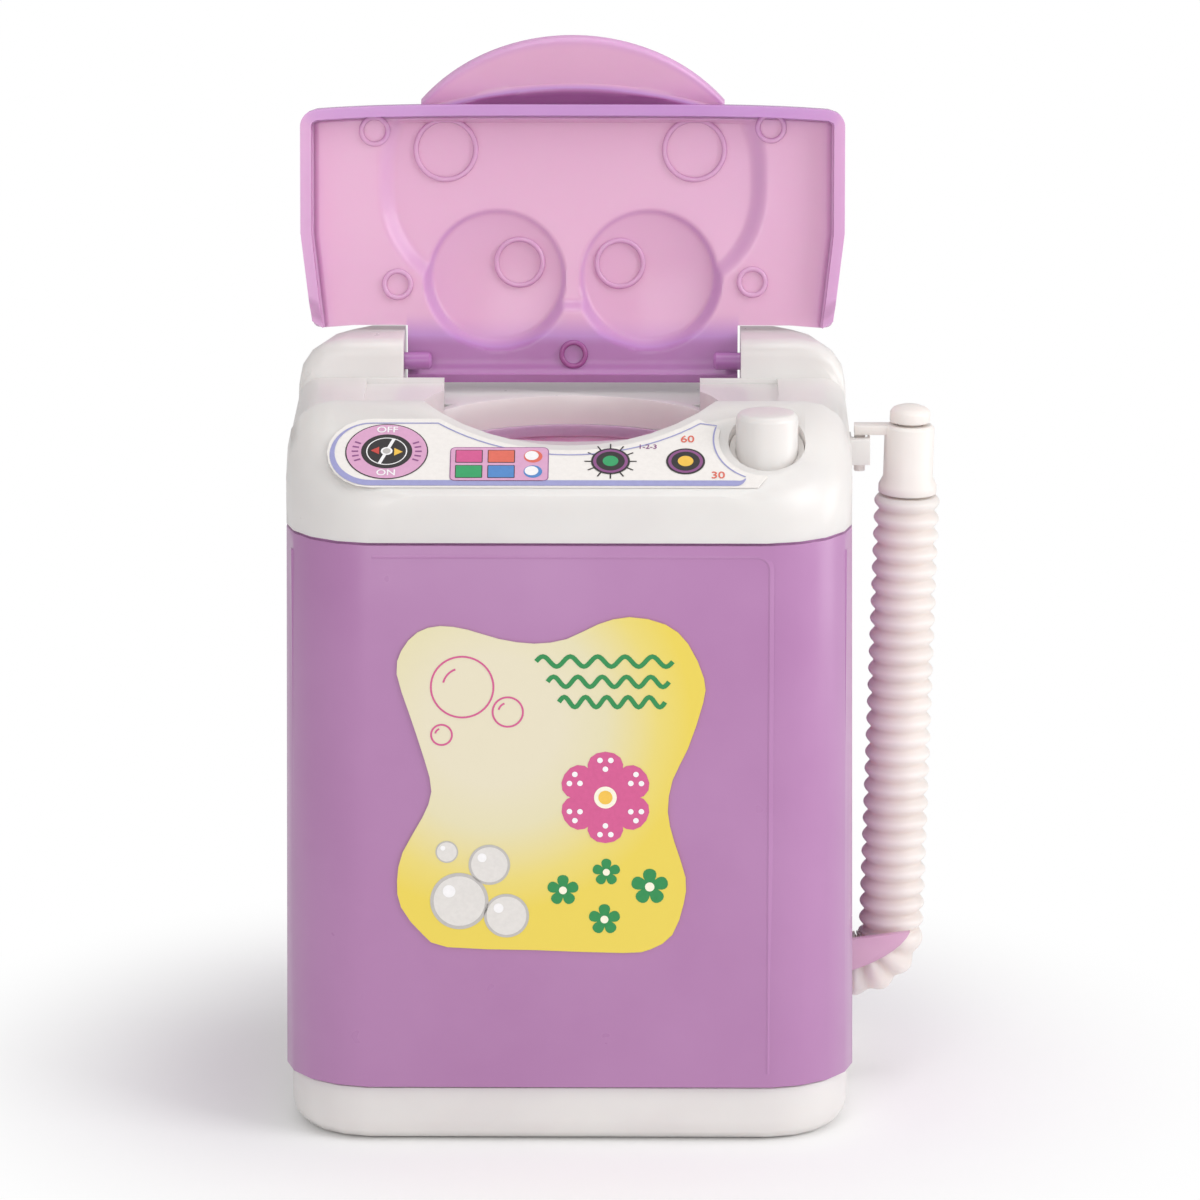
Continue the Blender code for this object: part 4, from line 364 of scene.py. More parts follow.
def bridge(shape, near, far):
    """Join two closed rings of corners by faces."""
    for k in range(len(near)):
        j = (k + 1) % len(near)
        shape.faces.new((near[k], near[j], far[j], far[k]))


def merged_copy(node, clean_flats):
    """Copy a CAD node's mesh with its corners merged, and its flat areas cleaned if asked."""
    mesh = frame["nodes"][node].data.copy()
    shape = bmesh.new()
    shape.from_mesh(mesh)
    bmesh.ops.remove_doubles(shape, verts=shape.verts, dist=MERGE)
    if clean_flats:
        bmesh.ops.dissolve_limit(shape, angle_limit=FLAT, verts=shape.verts, edges=shape.edges)
    shape.to_mesh(mesh)
    shape.free()
    return mesh


def softened(node, name, finish, radius):
    """Copy a CAD node, round its edges and let the copy stand for it."""
    piece = new_piece(name, merged_copy(node, True), finish)
    bevel = piece.modifiers.new("edge", "BEVEL")
    bevel.width = radius
    bevel.segments = 2
    bevel.limit_method = "ANGLE"
    bevel.angle_limit = EDGE
    bevel.harden_normals = False
    freeze(piece)
    smooth(piece.data)
    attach(piece, BODY_OF[node])
    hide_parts(node)
    return piece


SOFTENED = (
    ("housing", "housing_shell", PURPLE, 0.08, "purple_polystyrene"),
    ("inner_tub", "tub_bowl", TUB_PINK, 0.10, "purple_polystyrene"),
    ("top_cover", "cover_shell", WHITE, 0.12, "white_abs"),
    ("base_tray", "tray_shell", WHITE, 0.10, "white_abs"),
    ("battery_door", "door_panel", WHITE, 0.12, "white_abs"),
    ("push_button", "button_cap", WHITE, 0.15, "white_abs"),
    ("pulsator", "pulsator_disc", WHITE, 0.15, "white_abs"),
    ("hose_plug", "plug_cap", SOFT_WHITE, 0.12, "soft_white"),
    ("hose_sleeve", "sleeve_body", SOFT_WHITE, 0.12, "soft_white"),
)
DRESSED = {}
for node, name, finish, radius, slot in SOFTENED:
    DRESSED[node] = softened(node, name, finish, radius * MM)
    print(name, len(DRESSED[node].data.polygons), "faces")

# %% [markdown]
# The shells close on each other with a small lip just behind the seam, which keeps the seam from
# looking like a black slit. The fin is part of the housing, but so thin that light shows in it.

# %% Lips behind the seams
LIP_CORNER = 8.6
LIP_STEPS = 8
SEAM_LIPS = (("cover_lip", 29.35, 24.35, 65.3, 66.5, PURPLE), ("tray_lip", 28.9, 23.9, 5.9, 6.9, WHITE))


def seam_lip(name, half_x, half_y, low, high, finish):
    """A thin upright band that follows the seam on the inside."""
    shape = bmesh.new()
    rings = []
    for inset in (0.0, 0.5):
        outline = []
        for turn, (side_x, side_y) in enumerate(((1, -1), (1, 1), (-1, 1), (-1, -1))):
            for step in range(LIP_STEPS + 1):
                angle = math.pi / 2 * (turn - 1 + step / LIP_STEPS)
                outline.append((
                    side_x * (half_x - LIP_CORNER) + (LIP_CORNER - inset) * math.cos(angle),
                    side_y * (half_y - LIP_CORNER) + (LIP_CORNER - inset) * math.sin(angle),
                ))
        for height in (low, high):
            rings.append([shape.verts.new((x * MM, y * MM, height * MM)) for x, y in outline])
    order = (rings[0], rings[1], rings[3], rings[2], rings[0])
    for near, far in zip(order, order[1:]):
        bridge(shape, near, far)
    lip = new_piece(name, plain_mesh(name, shape), finish)
    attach(lip, "body")


for lip in SEAM_LIPS:
    seam_lip(*lip)

# %% [markdown]
# Two rings fill what would be black gaps: the tub's lip just inside the mouth, and the shoulder of
# the button that closes the well round it. A shallow line left by the mould frames the front.

# %% Lip, shoulder and mould line
ROUND_STEPS = 96
TUB_LIP = ((0.0, 0.5), 16.10, 16.44, 68.35, 69.60)
SHOULDER = ((20.9, -17.4), 3.32, 3.96, 73.7, 74.5)
PANEL_SLOPE = math.radians(28.8)
PANEL_RISE = math.tan(PANEL_SLOPE)
LINE_PATH_LEFT = -20.6
LINE_PATH_RIGHT = 21.2
LINE_PATH_TOP = 64.6
LINE_PATH_LOW = 8.0
LINE_BEND = 1.4
LINE_HALF = 0.45
LINE_RISE = 0.13
HOUSING_FRONT = -25.45
FRONT_LEAN = 0.5 / 59.5
HOUSING_FOOT = 6.3
LINE_ROOT = -0.05
LINE_BEND_STEPS = 8


def flat_ring(name, centre, inner, outer, low, high, rise, finish, body, slot):
    """A round ring with a rectangular section, level or rising to the back."""
    shape = bmesh.new()
    loops = []
    for radius, height in ((inner, low), (outer, low), (outer, high), (inner, high)):
        loops.append([
            shape.verts.new((
                (centre[0] + radius * math.cos(math.tau * k / ROUND_STEPS)) * MM,
                (centre[1] + radius * math.sin(math.tau * k / ROUND_STEPS)) * MM,
                (height + rise * radius * math.sin(math.tau * k / ROUND_STEPS)) * MM,
            ))
            for k in range(ROUND_STEPS)
        ])
    for near, far in zip(loops, loops[1:] + loops[:1]):
        bridge(shape, near, far)
    ring = new_piece(name, plain_mesh(name, shape), finish)
    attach(ring, body)


def mould_line():
    """A shallow three-sided ridge that runs along the top of the front and down its right side."""
    path = [(LINE_PATH_LEFT, LINE_PATH_TOP)]
    for step in range(LINE_BEND_STEPS + 1):
        angle = math.pi / 2 * (1 - step / LINE_BEND_STEPS)
        path.append((
            LINE_PATH_RIGHT - LINE_BEND + LINE_BEND * math.cos(angle),
            LINE_PATH_TOP - LINE_BEND + LINE_BEND * math.sin(angle),
        ))
    path.append((LINE_PATH_RIGHT, LINE_PATH_LOW))
    shape = bmesh.new()
    rows = []
    for k, (x, z) in enumerate(path):
        ahead, behind = path[min(k + 1, len(path) - 1)], path[max(k - 1, 0)]
        along = Vector((ahead[0] - behind[0], ahead[1] - behind[1])).normalized()
        row = []
        for side, rise in ((-LINE_HALF, LINE_ROOT), (0.0, LINE_RISE), (LINE_HALF, LINE_ROOT)):
            place_x, place_z = x - along.y * side, z + along.x * side
            face = HOUSING_FRONT + FRONT_LEAN * (place_z - HOUSING_FOOT) - rise
            row.append(shape.verts.new((place_x * MM, face * MM, place_z * MM)))
        rows.append(row)
    for near, far in zip(rows, rows[1:]):
        bridge(shape, near, far)
    shape.faces.new(rows[0])
    shape.faces.new(rows[-1][::-1])
    line = new_piece("mould_line", plain_mesh("mould_line", shape), PURPLE)
    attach(line, "body")


flat_ring("tub_lip", *TUB_LIP, 0.0, TUB_PINK, "body", "purple_polystyrene")
flat_ring("button_shoulder", *SHOULDER, PANEL_RISE, SOFT_WHITE, "button", "white_abs")
mould_line()

# %% Fin beside the hose
FIN_START = 30.15 * MM
FIN_FRONT = -3.0 * MM
FIN_FLOOR = 15.0 * MM
FIN_ROOT_TOP = 16.6 * MM
FIN_TIP_RISE = 1.6 * MM
FIN_SQUASH = 0.62
FIN_STRETCH = 1.25

housing_mesh = DRESSED["housing"].data
housing_mesh.materials.append(THIN_PURPLE)
fin_corners = set()
for face in housing_mesh.polygons:
    centre = face.center
    if centre.x > FIN_START and centre.y < FIN_FRONT and centre.z > FIN_FLOOR:
        face.material_index = 1
        fin_corners.update(face.vertices)
fin_places = [housing_mesh.vertices[corner].co for corner in fin_corners]
fin_top = max(place.z for place in fin_places)
fin_tip = max(place.x for place in fin_places)
for place in fin_places:
    if place.x > FIN_START:
        share = (place.x - FIN_START) / (fin_tip - FIN_START)
        place.z = FIN_ROOT_TOP + FIN_TIP_RISE * share - FIN_SQUASH * (fin_top - place.z)
        place.x = FIN_START + FIN_STRETCH * (place.x - FIN_START)
print("fin corners:", len(fin_corners))

# %% [markdown]
# ## CAD nodes that keep their solid
#
# The parts inside are right as they are and only need a finish. Assigning to the object's
# material slots leaves the mesh itself alone.

# %% Finishes on kept nodes
KEPT = {
    "motor_bracket": WHITE,
    "drain_elbow": WHITE,
    "motor_can": STEEL,
    "motor_shaft": STEEL,
    "contact_plate": STEEL,
    "contact_spring": STEEL,
    "bracket_screw_left": STEEL,
    "bracket_screw_right": STEEL,
    "switch_leaf_fixed": BRASS,
    "switch_leaf_moving": BRASS,
    "motor_end_cap": BLACK,
    "shaft_seal": RUBBER,
    "lead_cell_to_motor": BLACK,
    "lead_cell_to_switch": RED_SLEEVE,
    "lead_switch_to_motor": RED_SLEEVE,
    "battery_cell": CELL_WRAP,
}


def coat(node, finish):
    """Give a CAD node a finish through its object, which leaves its mesh alone."""
    for slot in frame["nodes"][node].material_slots:
        slot.link = "OBJECT"
        slot.material = finish


for node, finish in KEPT.items():
    coat(node, finish)
print(len(KEPT), "nodes keep their solid")

# %% [markdown]
# The spring under the button stands on the tub and carries the button. Here it is a plain copy of
# its CAD node that stays where it stands.

# %% Button spring
coil_mesh = merged_copy("button_spring", False)
button_coil = new_piece("button_coil", coil_mesh, STEEL)
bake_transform(button_coil)
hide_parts("button_spring")
print("button coil:", len(coil_mesh.polygons), "faces")

# %% [markdown]
# ## Geometry Nodes, set up once
#
# Shapes that repeat or follow a path are made by a node tree built here. Each tree has named
# inputs for its sizes, and its result is turned into a plain mesh before it rides on a body.

# %% Geometry Nodes helpers
def start_tree(name, sizes):
    """Make a node tree with a geometry input, float inputs for its sizes and a geometry output."""
    tree = bpy.data.node_groups.new(name, "GeometryNodeTree")
    face = tree.interface
    face.new_socket("Geometry", in_out="INPUT", socket_type="NodeSocketGeometry")
    for label in sizes:
        face.new_socket(label, in_out="INPUT", socket_type="NodeSocketFloat")
    face.new_socket("Geometry", in_out="OUTPUT", socket_type="NodeSocketGeometry")
    return tree, add_node(tree, "NodeGroupInput").outputs


def end_tree(tree, geometry, finish):
    """Close a tree with Realize Instances and Set Material."""
    real = add_node(tree, "GeometryNodeRealizeInstances", {"Geometry": geometry})
    coated = add_node(
        tree, "GeometryNodeSetMaterial", {"Geometry": real.outputs["Geometry"], "Material": finish}
    )
    add_node(tree, "NodeGroupOutput", {"Geometry": coated.outputs["Geometry"]})


def grow(carrier, tree, sizes):
    """Run a tree on an object with its sizes set by socket identifier, and keep the plain mesh."""
    modifier = carrier.modifiers.new(tree.name, "NODES")
    modifier.node_group = tree
    for item in tree.interface.items_tree:
        if item.in_out == "INPUT" and item.name in sizes:
            modifier[item.identifier] = sizes[item.name]
    bpy.context.view_layer.update()
    graph = bpy.context.evaluated_depsgraph_get()
    mesh = bpy.data.meshes.new_from_object(carrier.evaluated_get(graph))
    name = carrier.name
    carrier.modifiers.clear()
    bpy.data.objects.remove(carrier, do_unlink=True)
    return new_piece(name, mesh)


def maths(tree, operation, *values):
    """One Math node, read as operation(value, value)."""
    inputs = dict(enumerate(values))
    return add_node(tree, "ShaderNodeMath", inputs, operation=operation).outputs["Value"]


print("tree helpers ready")

# %% [markdown]
# ## The drain hose
#
# The real hose is blown into a mould with even rings, so it is one soft wall that swells and
# shrinks along its path. A tree resamples the path, sets the radius from the distance along it,
# and sweeps a circle. The radius is a sine whose crests are made fuller by a power.

# %% Drain hose
TUB_Y = 0.5 * MM
HOSE_Z = 12.6 * MM
HOSE_X_LOW = 35.1 * MM
HOSE_X_TOP = 36.4 * MM
HOSE_BEND = 4.0 * MM
HOSE_START = 25.0 * MM
BELLOWS_TOP = 65.5 * MM
RING_PITCH = 1.88 * MM
CREST_RADIUS = 3.55 * MM
VALLEY_RADIUS = 2.98 * MM
CREST_FULLNESS = 0.75
RING_STEPS = 10
HOSE_SIDES = 48
BEND_STEPS = 24


def hose_path():
    """Points of the hose's centreline, from inside the housing up to its sleeve."""
    rise = BELLOWS_TOP - HOSE_Z - HOSE_BEND
    lean = math.atan((HOSE_X_TOP - HOSE_X_LOW) / rise)
    centre_x = HOSE_X_LOW - HOSE_BEND
    centre_z = HOSE_Z + HOSE_BEND
    points = [Vector((HOSE_START, TUB_Y, HOSE_Z))]
    for step in range(BEND_STEPS + 1):
        angle = -math.pi / 2 + (math.pi / 2 + lean) * step / BEND_STEPS
        points.append(Vector((
            centre_x + HOSE_BEND * math.cos(angle), TUB_Y, centre_z + HOSE_BEND * math.sin(angle)
        )))
    points.append(Vector((HOSE_X_TOP, TUB_Y, BELLOWS_TOP)))
    return points


def path_object(name, paths, closed=False):
    """Make a curve object of straight pieces through the points of each path."""
    curve = bpy.data.curves.new(name, "CURVE")
    curve.dimensions = "3D"
    for points in paths:
        spline = curve.splines.new("POLY")
        spline.points.add(len(points) - 1)
        spline.use_cyclic_u = closed
        for knot, point in zip(spline.points, points):
            knot.co = (*point, 1.0)
    carrier = bpy.data.objects.new(name, curve)
    bpy.context.scene.collection.objects.link(carrier)
    return carrier


def bellows_tree(finish):
    """Sweep a circle whose radius swells in even rings along the path."""
    tree, given = start_tree("bellows", ("Pitch", "Crest", "Valley", "Step"))
    fine = add_node(
        tree, "GeometryNodeResampleCurve",
        {"Curve": given["Geometry"], "Length": given["Step"]}, mode="LENGTH",
    )
    reach = add_node(tree, "GeometryNodeSplineParameter").outputs["Length"]
    turns = maths(tree, "DIVIDE", reach, given["Pitch"])
    wave = maths(tree, "SINE", maths(tree, "MULTIPLY", turns, math.tau))
    share = maths(tree, "POWER", maths(tree, "MULTIPLY_ADD", wave, 0.5, 0.5), CREST_FULLNESS)
    swell = maths(tree, "MULTIPLY", share, maths(tree, "SUBTRACT", given["Crest"], given["Valley"]))
    radius = maths(tree, "ADD", given["Valley"], swell)
    circle = add_node(
        tree, "GeometryNodeCurvePrimitiveCircle", {"Resolution": HOSE_SIDES, "Radius": 1.0}
    )
    swept = add_node(
        tree, "GeometryNodeCurveToMesh",
        {
            "Curve": fine.outputs["Curve"], "Profile Curve": circle.outputs["Curve"],
            "Scale": radius, "Fill Caps": True,
        },
    )
    end_tree(tree, swept.outputs["Mesh"], finish)
    return tree


hose = grow(
    path_object("hose_bellows", [hose_path()]),
    bellows_tree(MILKY),
    {
        "Pitch": RING_PITCH, "Crest": CREST_RADIUS, "Valley": VALLEY_RADIUS,
        "Step": RING_PITCH / RING_STEPS,
    },
)
hose.data.shade_smooth()
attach(hose, "hose")
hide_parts("drain_hose")
print("hose:", len(hose.data.polygons), "faces")

# %% [markdown]
# ## Screws under the base
#
# Three small cross-recess screws are the same part at three places. One turned form with a
# cut cross is set on three points by a tree, so a change to the form changes them all.

# %% Screws
SCREW_HEAD_RADIUS = 1.9 * MM
SCREW_HEAD = 1.1 * MM
SCREW_ROUND = 0.35 * MM
CROSS_HALF = 0.95 * MM
CROSS_WIDTH = 0.32 * MM
CROSS_DEPTH = 0.6 * MM
SHANK_RADIUS = 0.9 * MM
SHANK_LENGTH = 3.6 * MM
SCREW_SIDES = 32


def turned_form(name, profile, sides):
    """Revolve a profile of (radius, height) pairs, from axis to axis, into a closed solid."""
    shape = bmesh.new()
    layers = []
    for radius, height in profile:
        count = sides if radius > 0 else 1
        layers.append([
            shape.verts.new((
                radius * math.cos(math.tau * k / sides), radius * math.sin(math.tau * k / sides), height
            ))
            for k in range(count)
        ])
    for lower, upper in zip(layers, layers[1:]):
        for k in range(sides):
            j = (k + 1) % sides
            corners = [
                lower[k % len(lower)], lower[j % len(lower)], upper[j % len(upper)],
                upper[k % len(upper)]
            ]
            shape.faces.new(list(dict.fromkeys(corners)))
    return plain_mesh(name, shape)


def box_form(name, low, high):
    """A plain box mesh, used only as a cutter."""
    shape = bmesh.new()
    bmesh.ops.create_cube(shape, size=1.0)
    for vertex in shape.verts:
        for axis in range(3):
            vertex.co[axis] = high[axis] if vertex.co[axis] > 0 else low[axis]
    mesh = bpy.data.meshes.new(name)
    shape.to_mesh(mesh)
    shape.free()
    return new_piece(name, mesh)


def screw_form():
    """Round head with a cross recess that looks down, and a short shank above it."""
    profile = [
        (0.0, 0.0), (SCREW_HEAD_RADIUS - 2 * SCREW_ROUND, 0.0),
        (SCREW_HEAD_RADIUS - SCREW_ROUND, SCREW_ROUND / 3)
    ]
    profile += [
        (SCREW_HEAD_RADIUS, SCREW_ROUND), (SCREW_HEAD_RADIUS, SCREW_HEAD), (SHANK_RADIUS, SCREW_HEAD)
    ]
    profile += [(SHANK_RADIUS, SCREW_HEAD + SHANK_LENGTH), (0.0, SCREW_HEAD + SHANK_LENGTH)]
    form = new_piece("screw_form", turned_form("screw_form", profile, SCREW_SIDES))
    for half_x, half_y in ((CROSS_HALF, CROSS_WIDTH / 2), (CROSS_WIDTH / 2, CROSS_HALF)):
        cutter = box_form("cross", (-half_x, -half_y, -CROSS_DEPTH), (half_x, half_y, CROSS_DEPTH))
        step = form.modifiers.new("cross", "BOOLEAN")
        step.operation = "DIFFERENCE"
        step.solver = "EXACT"
        step.object = cutter
        freeze(form)
        bpy.data.objects.remove(cutter, do_unlink=True)
    return form


def screws_tree(form, finish):
    """Set the screw form on every point of the carrier."""
    tree, given = start_tree("screws", ("Size",))
    source = add_node(tree, "GeometryNodeObjectInfo", {"Object": form}, transform_space="ORIGINAL")
    placed = add_node(
        tree, "GeometryNodeInstanceOnPoints",
        {"Points": given["Geometry"], "Instance": source.outputs["Geometry"], "Scale": given["Size"]},
    )
    end_tree(tree, placed.outputs["Instances"], finish)
    return tree


def point_cloud(name, points):
    """A mesh of loose points that carries instances."""
    mesh = bpy.data.meshes.new(name)
    mesh.from_pydata([tuple(point) for point in points], [], [])
    return new_piece(name, mesh)


def screw_seat(node):
    """Where a screw's head starts: the middle of the node's underside."""
    low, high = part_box(node)
    return ((low[0] + high[0]) / 2, (low[1] + high[1]) / 2, low[2])


SCREW_NODES = ("base_screw_left", "base_screw_right", "door_screw")
form = screw_form()
screws = grow(
    point_cloud("underside_screws", [screw_seat(node) for node in SCREW_NODES]),
    screws_tree(form, STEEL),
    {"Size": 1.0},
)
bpy.data.objects.remove(form, do_unlink=True)
screws.data.set_sharp_from_angle(angle=CREASE)
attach(screws, "body")
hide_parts(*SCREW_NODES)
print("screws:", len(screws.data.polygons), "faces")

# %% [markdown]
# ## The lid
#
# The lid is one thin moulding, drawn shut and then turned open about its hinge. A sheet of cells
# carries two skins: a rule gives the place of each cell corner on the inside and on the outside.
# The animal face is a swelling of the sheet: a broad head and two round cheeks, with a small
# blend where they meet. The skirt hangs from the sheet's edge and the tongue curls at the hinge.
# Sizes here are in millimetres: x to the right, reach forward from the hinge, and height.

# %% Lid sizes
HINGE = Vector((0.0, 17.0, 76.7))
LID_OPEN = math.radians(98.0)
LID_HALF = 29.9
LID_REACH = 28.2
LID_INNER = 2.1
LID_WALL = 1.2
LID_TOP = LID_INNER + LID_WALL
LID_REAR = 3.8
LID_TAPER = 1.2
LID_CORNER = 1.8
SMALLEST_CORNER = 0.3
WING_START = 24.0
WING_TIP = 27.9
WING_ROUND = 0.8
WING_SWEEP = 0.3
SKIRT_LOW = -0.6
WING_LOW = 0.8
WING_OPEN = (4.8, 6.4)
OUTER_FOLD = 0.6
INNER_FOLD = 0.25
TONGUE_HALF = 18.2
TONGUE_WRAP = math.radians(50.0)
FINE_STEPS = 73
FINE_STEP = TONGUE_HALF / FINE_STEPS
FINE_COLUMNS = 87
COARSE_COLUMNS = 11
PLATE_ROWS = 98
TONGUE_ROWS = 15
CURL_ROWS = 8
FOLD_ROWS = 4
HANG_ROWS = 3
# Centre across and ahead, half sizes, rise, squareness, and the share taken by the sloping rim
HEAD = (0.0, 20.0, 21.6, 14.8, 1.8, 2.5, 0.10)
CHEEKS = tuple((side * 8.35, 9.05, 8.25, 8.15, 3.0, 2.0, 0.15) for side in (-1, 1))
CROWN = 0.40
FRONT_BOW = 0.7
BLEND = 0.5
FACE_END = 0.25
FACE_FADE = 0.5
LID_TURN = Matrix.Rotation(-LID_OPEN, 3, "X")


def smooth_share(value, low, high):
    """Soft step from 0 at low to 1 at high."""
    share = min(max((value - low) / (high - low), 0.0), 1.0)
    return share * share * (3 - 2 * share)


def between(a, b, share):
    """Straight blend of two numbers."""
    return a + (b - a) * share


def lid_place(x, reach, height):
    """Turn a place on the shut lid into metres on the open lid."""
    return (HINGE + LID_TURN @ Vector((x, -reach, height))) * MM


def swelling(x, reach, form, grown):
    """Height of one rounded form: a sloping rim and a low crown."""
    centre_x, centre_reach, half_x, half_reach, rise, squareness, rim = form
    across = abs((x - centre_x) / (half_x + grown / 2)) ** squareness
    ahead = abs((reach - centre_reach) / (half_reach + grown / 2)) ** squareness
    share = (across + ahead) ** (1 / squareness)
    if share >= 1:
        return 0.0
    return (rise + grown) * ((1 - CROWN) * smooth_share(1 - share, 0, rim) + CROWN * (1 - share**2))


def face_height(x, reach, grown, end):
    """Height of the face over the sheet: grown is nothing inside and the wall outside."""
    head = swelling(x, reach, HEAD, grown)
    cheek = max(swelling(x, reach, form, grown) for form in CHEEKS)
    low, high = sorted((head, cheek))
    fillet = max(BLEND - (high - low), 0.0) ** 2 / (4 * BLEND) * min(1.0, low / BLEND)
    return max(high + fillet - grown, 0.0) * smooth_share(end - reach, FACE_END, FACE_END + FACE_FADE)


print("cheeks rise", round(face_height(8.5, 9.4, 0.0, LID_REACH), 2), "mm")

# %% [markdown]
# The same plastic looks pale where light crosses it once, and deeper at its edges and at the skirt,
# where more of it lies along the ray. The deeper colour on the steep rims of the face is partly that
# and partly painted shade, and the deep tongue is painted shade. A point attribute called
# tint carries all of it, from 0 for pale to 1 for deep, and the finish reads its colour from it.

# %% Lid tint, its painted shade and its finish
LID_ALPHA = 0.84
LID_ROUGHNESS = 0.24
TINT_DRIFT = 0.07
# Pale to deep lilac; the deep end carries thicker plastic and painted shade.
TINT_AND_SHADE_STOPS = (
    (0.00, "#f0bcdc"), (0.30, "#e0aadb"), (0.60, "#cd96d8"), (0.85, "#ab5d9e"), (1.00, "#8f4184")
)
EDGE_BAND = (0.4, 3.0)
TONGUE_BAND = (1.5, 5.5)
CHEEK_CLEARS = 0.8
EDGE_TINT = 0.22
FRONT_TINT = 0.55
# Painted shade: steep slopes of the face are drawn deeper, up to this share.
RIM_SHADE = 0.34
RIM_SLOPE = 1.8
# Painted shade: the tongue is drawn deep for the shade behind it.
TONGUE_SHADE = 0.74
PROBE = 0.15


def lid_tint_and_shade(x, reach, half):
    """How deep the plastic looks at a place on the sheet, with painted shade on the rims and the
    tongue.
    """
    edge = min(half - abs(x), LID_REACH - reach)
    near_edge = EDGE_TINT * (1 - smooth_share(edge, *EDGE_BAND))
    rise_x = face_height(x + PROBE, reach, 0.0, LID_REACH) - face_height(
        x - PROBE, reach, 0.0, LID_REACH
    )
    rise_y = face_height(x, reach + PROBE, 0.0, LID_REACH) - face_height(
        x, reach - PROBE, 0.0, LID_REACH
    )
    slope = math.hypot(rise_x, rise_y) / (2 * PROBE)
    # Painted shade, together with thicker plastic, on the steep rims of the face.
    rim = RIM_SHADE * min(1.0, slope / RIM_SLOPE)
    cheek = max(swelling(x, reach, form, 0.0) / form[4] for form in CHEEKS)
    # Painted shade on the tongue, cleared in part under the cheeks.
    tongue = 0.0
    if abs(x) < TONGUE_HALF + FINE_STEP / 2:
        tongue = TONGUE_SHADE * (1 - smooth_share(reach, *TONGUE_BAND)) * (1 - CHEEK_CLEARS * cheek)
    return max(near_edge, rim, tongue)


def set_tint_and_shade(mesh, tints):
    """Write how deep the plastic looks, painted shade included, at every corner of a mesh."""
    values = mesh.attributes.new("tint", "FLOAT", "POINT")
    values.data.foreach_set("value", tints)


LILAC, lilac_tree, lilac_shader, lilac_place = start_finish("moulded_clear_lilac_polystyrene")
tint = add_node(lilac_tree, "ShaderNodeAttribute", attribute_name="tint").outputs["Fac"]
cloud = add_node(
    lilac_tree, "ShaderNodeTexNoise", {"Vector": lilac_place, "Scale": 1 / CLOUD, "Detail": 3.0}
)
drift = add_node(
    lilac_tree, "ShaderNodeMapRange",
    {"Value": cloud.outputs["Fac"], "To Min": -TINT_DRIFT, "To Max": TINT_DRIFT},
)
ramp = add_node(
    lilac_tree, "ShaderNodeValToRGB", {"Fac": maths(lilac_tree, "ADD", tint, drift.outputs["Result"])}
)
fill_ramp(ramp, TINT_AND_SHADE_STOPS)
fill_inputs(lilac_tree, lilac_shader, {
    "Base Color": ramp.outputs["Color"],
    "Roughness": uneven(lilac_tree, lilac_place, FINE_CLOUD, LID_ROUGHNESS),
    "Normal": skin(lilac_tree, lilac_place, SKIN_WAVE, SKIN_DEPTH),
    "IOR": PLASTIC_IOR,
    "Alpha": LID_ALPHA,
})
let_light_in(lilac_shader, 0.25, (1.0, 0.6, 0.9), 1.0 * MM)
print("lid tint stops:", len(TINT_AND_SHADE_STOPS))

# %% [markdown]
# Columns of cells are fine over the face and wider towards the wings, so the face gets the detail.
# The edge loop starts at one wing, runs round the front and ends at the other wing.

# %% Lid sheet
def lid_half(reach, inset):
    """Half width of the lid at a reach, drawn in by an inset."""
    half = LID_HALF - inset
    corner = max(LID_CORNER - inset, SMALLEST_CORNER)
    start = LID_REACH - inset - corner
    if reach > start:
        fall = min(reach - start, corner)
        return half - corner + math.sqrt(corner**2 - fall**2)
    middle = LID_REACH / 2
    return half - LID_TAPER * min(max((middle - reach) / (middle - LID_REAR), 0.0), 1.0)


def lid_rear(x):
    """Reach of the rear edge: straight at the tongue, swept at the wings."""
    x = abs(x)
    tip = LID_REAR - WING_SWEEP
    if x < WING_START:
        return LID_REAR
    if x < WING_TIP:
        return between(LID_REAR, tip, (x - WING_START) / (WING_TIP - WING_START))
    fall = min(x - WING_TIP, WING_ROUND)
    return tip + WING_ROUND - math.sqrt(WING_ROUND**2 - fall**2)


def sheet_point(column, row, inset):
    """Place of a cell corner on the flat sheet, drawn in by an inset."""
    far = LID_REACH - inset
    share = row / PLATE_ROWS
    half = lid_half(between(LID_REAR, far, share), inset)
    fine = min(abs(column), FINE_COLUMNS) * FINE_STEP
    coarse = max(abs(column) - FINE_COLUMNS, 0) / COARSE_COLUMNS
    x = math.copysign(fine + coarse * (half - FINE_COLUMNS * FINE_STEP), column)
    return x, between(lid_rear(x), far - FRONT_BOW * (x / LID_HALF) ** 4, share)


def skin_point(column, row, outside):
    """Place and tint of a cell corner on one skin of the plate or the tongue."""
    grown = LID_WALL if outside else 0.0
    level = LID_TOP if outside else LID_INNER
    inset = OUTER_FOLD if outside else LID_WALL + INNER_FOLD
    end = LID_REACH - inset
    if row < -TONGUE_ROWS:
        angle = TONGUE_WRAP * (-row - TONGUE_ROWS) / CURL_ROWS
        x = column * FINE_STEP
        # The curl of the tongue carries the tongue's painted shade.
        return lid_place(x, -level * math.sin(angle), level * math.cos(angle)), TONGUE_SHADE
    if row < 0:
        x, reach = column * FINE_STEP, LID_REAR * (1 + row / TONGUE_ROWS)
    else:
        x, reach = sheet_point(column, row, inset)
    height = level + face_height(x, reach, grown, end)
    return lid_place(x, reach, height), lid_tint_and_shade(x, reach, lid_half(reach, 0.0))


